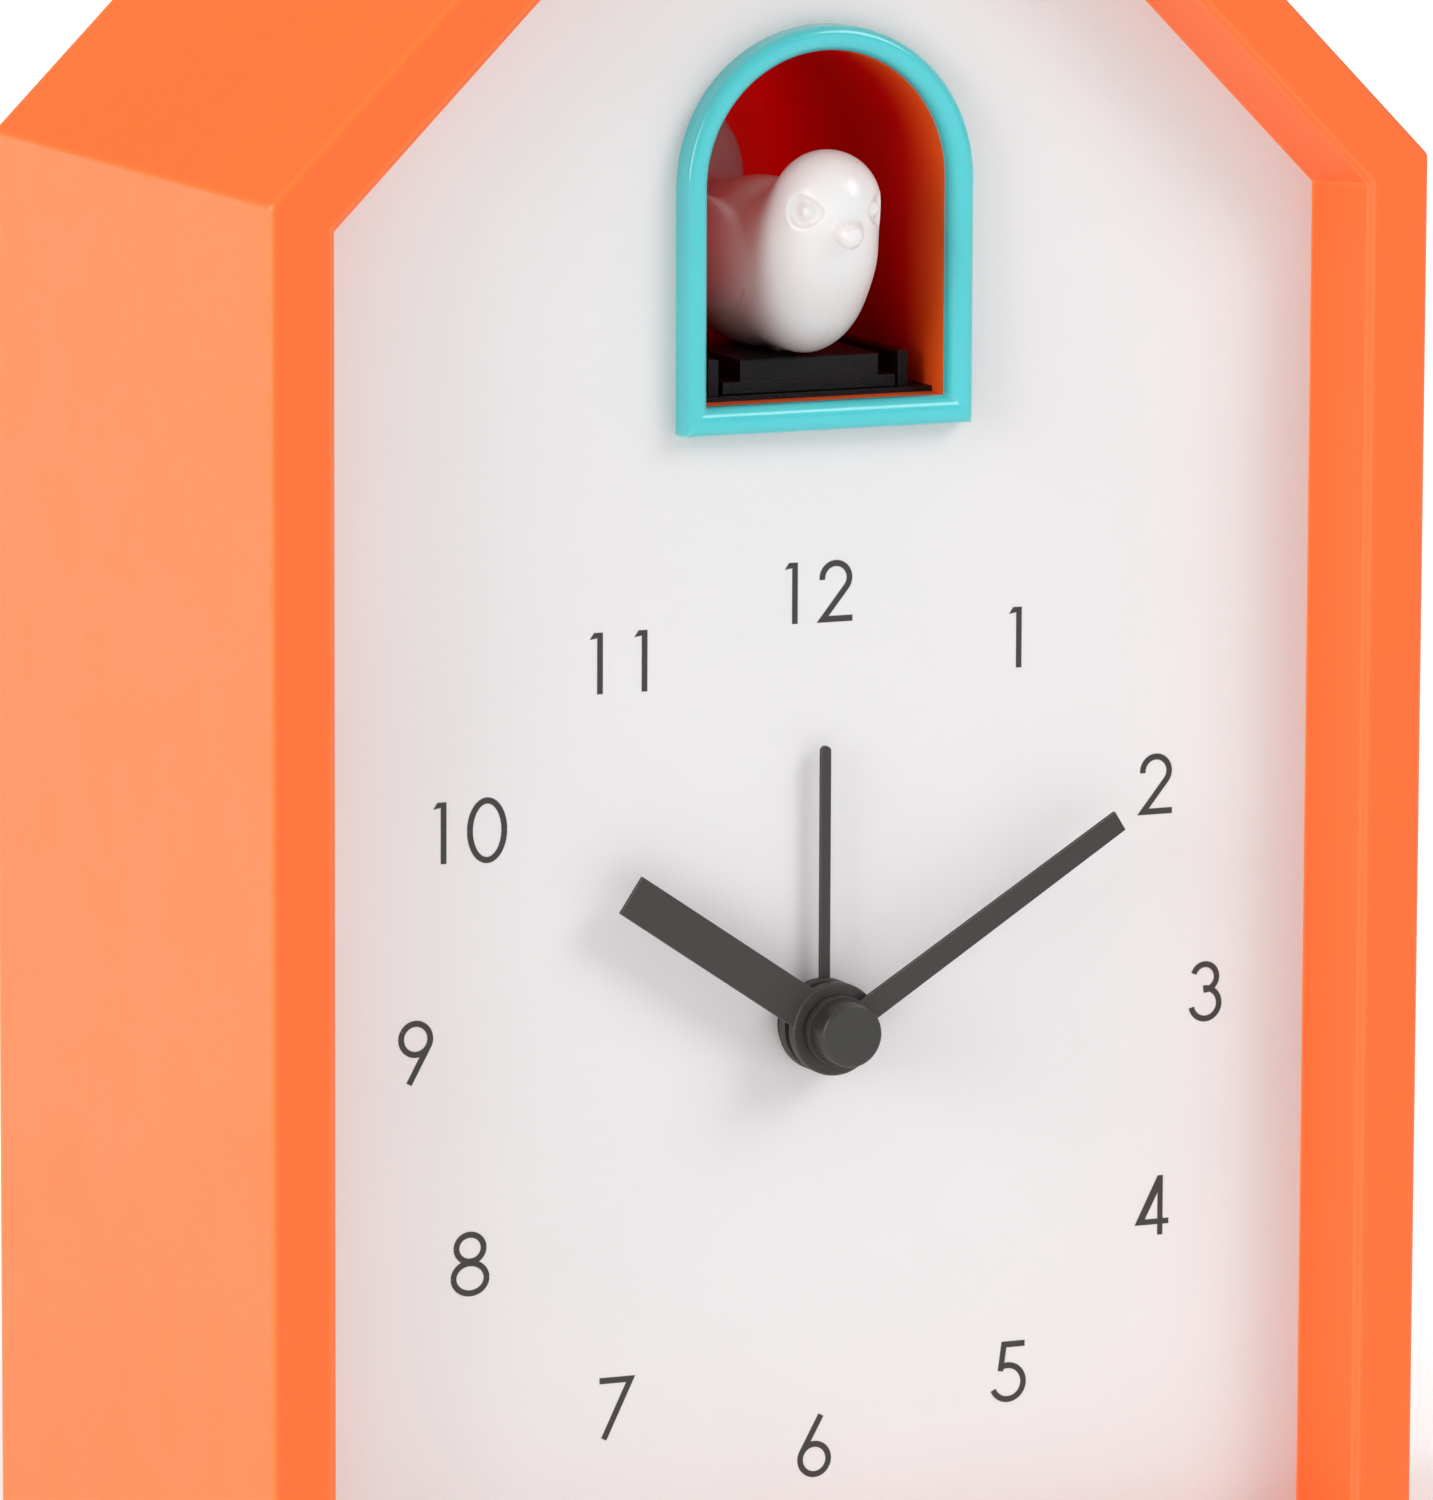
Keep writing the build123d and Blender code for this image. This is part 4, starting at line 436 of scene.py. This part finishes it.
orange = colour(247, 103, 28)
# The lighter edge colours given below are painted highlights.
finishes = {
    "case_orange": moulded("case_orange", orange, 0.36, grain=0.00045, depth=0.000004, drift=0.05,
                           edge_highlight=colour(255, 165, 96), highlight_radius=0.0009, highlight_gain=2.4),
    "dial_white": moulded("dial_white", colour(227, 227, 228), 0.62, grain=0.0002, depth=0.000003, drift=0.04,
                          Specular_IOR_Level=0.3),
    "trim_turquoise": moulded("trim_turquoise", colour(70, 200, 206), 0.16, grain=0.0006, depth=0.000003,
                              edge_highlight=colour(175, 235, 236), highlight_radius=0.0007, highlight_gain=1.6, Coat_Weight=0.3,
                              Coat_Roughness=0.06),
    "black_plastic": moulded("black_plastic", colour(8, 8, 9), 0.38, grain=0.00022, depth=0.00014,
                             edge_highlight=colour(60, 60, 60), highlight_radius=0.00015, highlight_gain=1.0,
                             Specular_IOR_Level=0.25),
    "bird_white": bird_gloss(),
    "chamber_red": chamber_lining(),
    "foot_rubber": moulded("foot_rubber", colour(50, 48, 47), 0.85, grain=0.0004, depth=0.00003,
                           edge_highlight=colour(78, 75, 73), highlight_radius=0.0004),
    "hand_grey": moulded("hand_grey", colour(50, 48, 46), 0.5, grain=0.00018, depth=0.000008,
                         edge_highlight=colour(120, 117, 112), highlight_radius=0.00012, highlight_gain=1.5),
    "cap_grey": moulded("cap_grey", colour(47, 46, 44), 0.34, grain=0.0003, depth=0.000004,
                        edge_highlight=colour(128, 125, 120), highlight_radius=0.0002, highlight_gain=1.2),
    "back_plastic": moulded("back_plastic", orange, 0.5, grain=0.0005, depth=0.00002, drift=0.05,
                            edge_highlight=colour(255, 150, 84), highlight_radius=0.0005, highlight_gain=1.3),
    "knob_plastic": moulded("knob_plastic", colour(44, 44, 46), 0.42, grain=0.0004, depth=0.00001,
                            edge_highlight=colour(96, 96, 98), highlight_radius=0.0003),
    "movement_plastic": moulded("movement_plastic", colour(38, 38, 40), 0.48, grain=0.0004, depth=0.000015,
                                edge_highlight=colour(70, 70, 72), highlight_radius=0.0003),
    "gear_plastic": moulded("gear_plastic", colour(228, 224, 210), 0.32, grain=0.0005, depth=0.000005,
                            edge_highlight=colour(246, 244, 236), highlight_radius=0.0002),
    "chip_black": moulded("chip_black", colour(30, 30, 32), 0.55, grain=0.0002, depth=0.00001,
                          edge_highlight=colour(66, 66, 68), highlight_radius=0.0002),
    "magnet_dark": moulded("magnet_dark", colour(60, 60, 62), 0.6, grain=0.00035, depth=0.00003,
                           edge_highlight=colour(96, 96, 98), highlight_radius=0.0003),
    "steel": metal("steel", colour(186, 186, 188), 0.26, along=(1.0, 0.05, 1.0)),
    "brass": metal("brass", colour(205, 168, 92), 0.24, along=(0.05, 1.0, 1.0), stain=colour(120, 84, 40)),
    "contact_metal": metal("contact_metal", colour(198, 197, 192), 0.3, along=(1.0, 1.0, 0.05)),
    "battery_wrap": battery_foil(),
    "board_green": board_mask(),
    "copper": wound_copper(),
    "speaker_paper": speaker_cone_paper(),
}


def dress(piece, slot):
    piece.data.materials.clear()
    piece.data.materials.append(finishes[slot])


def dress_cad_nodes():
    """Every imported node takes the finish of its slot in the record."""
    for part in frame["record"]["subparts"]:
        dress(frame["nodes"][part["node"]], part["material_slot"])


def new_piece(name, mesh, slot, body):
    """A visual piece that rides on a body and takes its finish from a slot."""
    piece = bpy.data.objects.new(name, mesh)
    bpy.context.scene.collection.objects.link(piece)
    dress(piece, slot)
    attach(piece, body)
    return piece


# ---------------------------------------------------------------- numerals on the dial

# Millimetres, as are the points of the figures below.
STROKE = 0.60
NUMERAL_RING = 41.6
INK_THICKNESS = 0.03
ONE_WIDTH = 1.37
ARC_STEP = 6  # degrees between the points of an arc


def bow(centre, radii, start, end):
    """Points along an arc, from one angle to another in degrees, clockwise if the end is smaller."""
    steps = max(4, int(abs(end - start) / ARC_STEP))
    turns = [radians(start + (end - start) * step / steps) for step in range(steps + 1)]
    return [(centre[0] + radii[0] * cos(turn), centre[1] + radii[1] * sin(turn)) for turn in turns]


def ribbon(points, width=STROKE):
    """Outline of a stroke along these points, with square ends and pointed corners."""
    path = [Vector(point) for point in points]
    left, right = [], []
    for index, point in enumerate(path):
        before = (point - path[index - 1]).normalized() if index else None
        after = (path[index + 1] - point).normalized() if index + 1 < len(path) else None
        along = ((before or after) + (after or before)).normalized()
        side = Vector((-along.y, along.x))
        reach = width / 2 / max(0.3, side.dot(Vector((-(after or before).y, (after or before).x))))
        left.append(point + side * reach)
        right.append(point - side * reach)
    return left + right[::-1]


def counter_clockwise(outline):
    """The outline in the turning direction that the triangulation fills."""
    sides = zip(outline, outline[1:] + outline[:1])
    area = sum(first[0] * second[1] - second[0] * first[1] for first, second in sides)
    return outline if area > 0 else outline[::-1]


def ring(centre, radii):
    """A closed oval stroke, as two half strokes."""
    return [ribbon(bow(centre, radii, 0, 180)), ribbon(bow(centre, radii, 180, 360))]


def tail_to_bowl(tip, centre, radius, side):
    """Where a straight tail from tip touches a round bowl, as an angle in degrees."""
    towards = atan2(tip[1] - centre[1], tip[0] - centre[0])
    away = acos(radius / (Vector(tip) - Vector(centre)).length)
    return (towards + side * away) * 180 / pi


def one():
    return [[(0, 5.25), (0.45, 5.9), (1.37, 5.9), (1.37, 0), (0.78, 0), (0.78, 5.38)]], ONE_WIDTH, 5.9


def two():
    top = bow((1.79, 4.24), (1.42, 1.42), 186, -40)
    return [ribbon(top + [(0.42, 0.30), (3.55, 0.30)])], 3.55, 5.95


def three():
    upper = bow((1.76, 4.40), (1.26, 1.26), 163, -95)
    lower = bow((1.79, 1.79), (1.50, 1.50), 98, -168)
    return [ribbon(upper), ribbon(lower)], 3.58, 5.95


def four():
    diagonal = [(0, 1.06), (2.47, 5.9), (3.04, 5.9), (3.04, 5.3), (0.95, 1.3)]
    bar = [(0, 1.06), (3.68, 1.06), (3.68, 1.62), (0.3, 1.62)]
    stem = [(2.47, 0), (3.04, 0), (3.04, 5.9), (2.47, 5.9)]
    return [diagonal, bar, stem], 3.68, 5.9


def five():
    bowl = bow((1.58, 1.97), (1.68, 1.68), 122, -156)
    return [ribbon([(3.4, 5.72), (1.18, 5.72), (0.82, 3.10)]), ribbon(bowl)], 3.55, 6.0


def six():
    centre, radius, tip = (1.75, 1.78), 1.49, (2.45, 6.1)
    touch = tail_to_bowl(tip, centre, radius, 1)
    return [ribbon([tip] + bow(centre, (radius, radius), touch, touch + 180)),
            ribbon(bow(centre, (radius, radius), touch + 180, touch + 360))], 3.5, 6.1


def seven():
    return [ribbon([(0, 5.72), (3.25, 5.72), (0.45, 0)])], 3.6, 6.0


def eight():
    return ring((2.0, 4.66), (1.40, 1.30)) + ring((2.0, 1.75), (1.70, 1.46)), 4.0, 6.25


def nine():
    strokes, width, height = six()
    return [[(width - x, height - y) for x, y in stroke] for stroke in strokes], width, height


def nought():
    return ring((2.06, 3.12), (1.76, 2.85)), 4.12, 6.24


def side_by_side(first, second, gap):
    """Two figures as one numeral."""
    strokes, width, height = first
    others, other_width, other_height = second
    lift = (height - other_height) / 2
    moved = [[(x + width + gap, y + lift) for x, y in stroke] for stroke in others]
    return strokes + moved, width + gap + other_width, height


def numeral_mesh(name, figure, middle):
    """A thin film of ink in the shape of a figure, centred on this place on the dial."""
    strokes, width, height = figure
    corners, faces = [], []
    for stroke in strokes:
        faces.append(list(range(len(corners), len(corners) + len(stroke))))
        corners += [Vector((x - width / 2, y - height / 2)) for x, y in counter_clockwise(stroke)]
    flat, _, cells, _, _, strokes_over = delaunay_2d_cdt(corners, [], faces, 0, 1e-5)
    triangles = [cell for cell, over in zip(cells, strokes_over) if over]
    mesh = bpy.data.meshes.new(name)
    ink = bmesh.new()
    made = [ink.verts.new((middle.x + point.x * MM, dial_front, middle.z + point.y * MM)) for point in flat]
    for triangle in triangles:
        ink.faces.new([made[index] for index in triangle])
    printed = bmesh.ops.extrude_face_region(ink, geom=ink.faces[:])["geom"]
    lifted = [part for part in printed if isinstance(part, bmesh.types.BMVert)]
    bmesh.ops.translate(ink, verts=lifted, vec=(0, -INK_THICKNESS * MM, 0))
    bmesh.ops.recalc_face_normals(ink, faces=ink.faces[:])
    ink.to_mesh(mesh)
    ink.free()
    return mesh


def print_numerals():
    figures = {
        1: one(), 2: two(), 3: three(), 4: four(), 5: five(), 6: six(), 7: seven(), 8: eight(), 9: nine(),
        10: side_by_side(one(), nought(), 2.1), 11: side_by_side(one(), one(), 3.23),
        12: side_by_side(one(), two(), 2.2),
    }
    for hour, figure in figures.items():
        turn = radians(30 * hour)
        middle = hand_axis + NUMERAL_RING * MM * Vector((sin(turn), 0, cos(turn)))
        new_piece(f"numeral_{hour}", numeral_mesh(f"numeral_{hour}", figure, middle), "hand_grey", "case")


# ---------------------------------------------------------------- bird

# The bird is modelled in millimetres from a point on the carriage right under its beak's tip.
bird_low, bird_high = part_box("bird")
bird_origin = Vector(((bird_low.x + bird_high.x) / 2, bird_low.y, bird_low.z))
SIDE_SPARE = 0.03
bird_half_width = (bird_high.x - bird_low.x) / 2 / MM - SIDE_SPARE
bird_length = (bird_high.y - bird_low.y) / MM
bird_height = (bird_high.z - bird_low.z) / MM
HEAD_CENTRE, HEAD_RADIUS = (0, 6.5, 15.0), 5.15

# Each eye is a shallow almond dish in the side of the head, with an eyeball in the middle of it.
EYE_DIRECTION = (4.0, -3.5, -0.35)
DISH_DEPTH, DISH_SLOPE = 0.46, 0.36
DISH_HALF_LENGTH, DISH_HALF_HEIGHT, DISH_TAPER = 2.15, 1.7, 0.3
EYEBALL_RADIUS, EYEBALL_SUNK = 0.85, 0.86


def oval(places, centre, radii, lean=0.0):
    """Distance to an oval body, leaned back about the X axis by this many degrees."""
    offset = places - np.array(centre)
    turn = radians(lean)
    y = offset[:, 1] * cos(turn) + offset[:, 2] * sin(turn)
    z = -offset[:, 1] * sin(turn) + offset[:, 2] * cos(turn)
    local = np.stack([offset[:, 0], y, z], 1)
    scaled = np.linalg.norm(local / np.array(radii), axis=1)
    slope = np.linalg.norm(local / np.array(radii) ** 2, axis=1)
    return scaled * (scaled - 1) / np.maximum(slope, 1e-6)


def merge(first, second, softness):
    """Union of two distances with a fillet of this size."""
    share = np.clip(0.5 + 0.5 * (second - first) / softness, 0, 1)
    return second + (first - second) * share - softness * share * (1 - share)


def bird_masses(places):
    """Body, breast, throat, head, rump, tail, wing and beak, each merged with the ones before it."""
    body = oval(places, (0, 21.0, 8.0), (6.9, 14.2, 8.3), lean=-3)
    breast = oval(places, (0, 10.3, 9.2), (5.7, 6.7, 8.9), lean=17)
    shape = merge(body, breast, 3.2)
    throat = oval(places, (0, 8.0, 11.6), (5.2, 5.6, 6.4))
    head = oval(places, HEAD_CENTRE, (HEAD_RADIUS, HEAD_RADIUS, HEAD_RADIUS))
    shape = merge(shape, merge(throat, head, 1.2), 1.8)
    rump = oval(places, (0, 31.5, 9.0), (5.2, 6.6, 4.9), lean=24)
    shape = merge(shape, rump, 3.0)
    tail = oval(places, (0, 37.2, 16.2), (4.9, 6.4, 2.3), lean=62)
    shape = merge(shape, tail, 2.0)
    wing = oval(places, (5.5, 23.0, 9.2), (1.75, 12.0, 5.4), lean=6)
    shape = merge(shape, wing, 0.6)
    bill = oval(places, (0, 1.9, 12.9), (1.55, 1.9, 1.2), lean=14)
    tip = oval(places, (0, 1.0, 12.25), (0.85, 0.95, 1.05), lean=25)
    return merge(shape, merge(bill, tip, 0.7), 0.3)


def add_eye(places, shape):
    """The dish and the eyeball, in directions along and across the skin at the middle of the eye."""
    outward = np.array(EYE_DIRECTION) / np.linalg.norm(EYE_DIRECTION)
    forward = np.cross(outward, (0.0, 0.0, 1.0))
    forward = forward / np.linalg.norm(forward)
    offset = places - (np.array(HEAD_CENTRE) + outward * HEAD_RADIUS)
    above_skin = np.linalg.norm(places - np.array(HEAD_CENTRE), axis=1) - HEAD_RADIUS
    ahead, above, out = offset @ forward, offset @ np.cross(outward, forward), offset @ outward
    half_height = DISH_HALF_HEIGHT - DISH_TAPER * np.clip(ahead, -1.0, 2.0)
    almond = np.hypot(ahead / DISH_HALF_LENGTH, above / half_height)
    near_eye = (np.abs(above_skin) < 1.5) & (out > -2.0)
    dish = np.clip((1.0 - almond) / DISH_SLOPE, 0, 1) * near_eye
    shape = shape + DISH_DEPTH * dish * dish * (3 - 2 * dish)
    from_ball = np.stack([ahead, above, out + EYEBALL_SUNK], 1)
    eyeball = np.linalg.norm(from_ball, axis=1) - EYEBALL_RADIUS
    return merge(shape, eyeball, 0.2)


def bird_distance(places):
    """Distance from each place to the bird's skin, in millimetres; negative inside."""
    places = places.copy()
    places[:, 0] = np.abs(places[:, 0])  # the left half mirrors the right
    shape = add_eye(places, bird_masses(places))
    above_carriage = places[:, 2]
    return -merge(-shape, above_carriage, 0.5)


def settle_on_skin(places, rounds=8):
    """Moves each place along the distance's slope until it lies on the bird's skin."""
    step, longest_move = 0.02, 0.6
    for _ in range(rounds):
        distance = bird_distance(places)
        slope = np.stack([
            (bird_distance(places + step * axis) - bird_distance(places - step * axis)) / (2 * step)
            for axis in np.eye(3)
        ], 1)
        length = np.maximum((slope ** 2).sum(1), 0.05)
        places = places - slope * np.clip(distance / length, -longest_move, longest_move)[:, None]
    return places


def bird_start_mesh():
    """Even quads near the bird's skin: oval masses joined and remeshed."""
    rough = bmesh.new()
    body, breast = ((0, 21.0, 8.4), (6.8, 14.0, 8.3)), ((0, 10.2, 9.0), (5.7, 7.2, 8.7))
    head, beak = (HEAD_CENTRE, (5.1, 5.1, 5.1)), ((0, 1.9, 12.7), (1.3, 1.8, 1.3))
    rump, tail = ((0, 31.5, 9.4), (5.0, 6.0, 5.0)), ((0, 37.0, 16.6), (4.7, 4.0, 5.2))
    wings = [((side * 5.5, 23.0, 9.2), (1.7, 11.8, 5.3)) for side in (1, -1)]
    for centre, radii in [body, breast, head, rump, tail, beak, *wings]:
        place = Matrix.Translation(Vector(centre)) @ Matrix.Diagonal(Vector((*radii, 1.0)))
        bmesh.ops.create_icosphere(rough, subdivisions=4, radius=1.0, matrix=place)
    mesh = bpy.data.meshes.new("bird_rough")
    rough.to_mesh(mesh)
    rough.free()
    lump = bpy.data.objects.new("bird_rough", mesh)
    bpy.context.scene.collection.objects.link(lump)
    remesh = lump.modifiers.new("even_quads", "REMESH")
    remesh.mode = "VOXEL"
    remesh.voxel_size = 0.22
    bpy.context.view_layer.update()
    ready = bpy.data.meshes.new_from_object(lump.evaluated_get(bpy.context.evaluated_depsgraph_get()))
    bpy.data.objects.remove(lump)
    return ready


def model_bird():
    """A smooth song bird with dished eyes, folded wings and an upswept tail, which stands on the carriage."""
    mesh = bird_start_mesh()
    mesh.name = "bird_skin"
    places = np.empty(len(mesh.vertices) * 3)
    mesh.vertices.foreach_get("co", places)
    places = settle_on_skin(places.reshape(-1, 3))
    places[:, 0] = np.clip(places[:, 0], -bird_half_width, bird_half_width)
    places[:, 1] = np.clip(places[:, 1], 0, bird_length)
    places[:, 2] = np.clip(places[:, 2], 0, bird_height)
    mesh.vertices.foreach_set("co", (places * MM + np.array(bird_origin)).ravel())
    mesh.polygons.foreach_set("use_smooth", np.ones(len(mesh.polygons), bool))
    mesh.update()
    bird = new_piece("song_bird", mesh, "bird_white", "bird_slide")
    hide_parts("bird")


# ---------------------------------------------------------------- floor


def lay_floor():
    mesh = bpy.data.meshes.new("studio_floor")
    plane = bmesh.new()
    bmesh.ops.create_grid(plane, x_segments=8, y_segments=8, size=9.0)
    plane.to_mesh(mesh)
    plane.free()
    floor = bpy.data.objects.new("studio_floor", mesh)
    bpy.context.scene.collection.objects.link(floor)
    mesh.materials.append(floor_paint())


place_camera()
light_studio()
dress_cad_nodes()
print_numerals()
model_bird()
lay_floor()
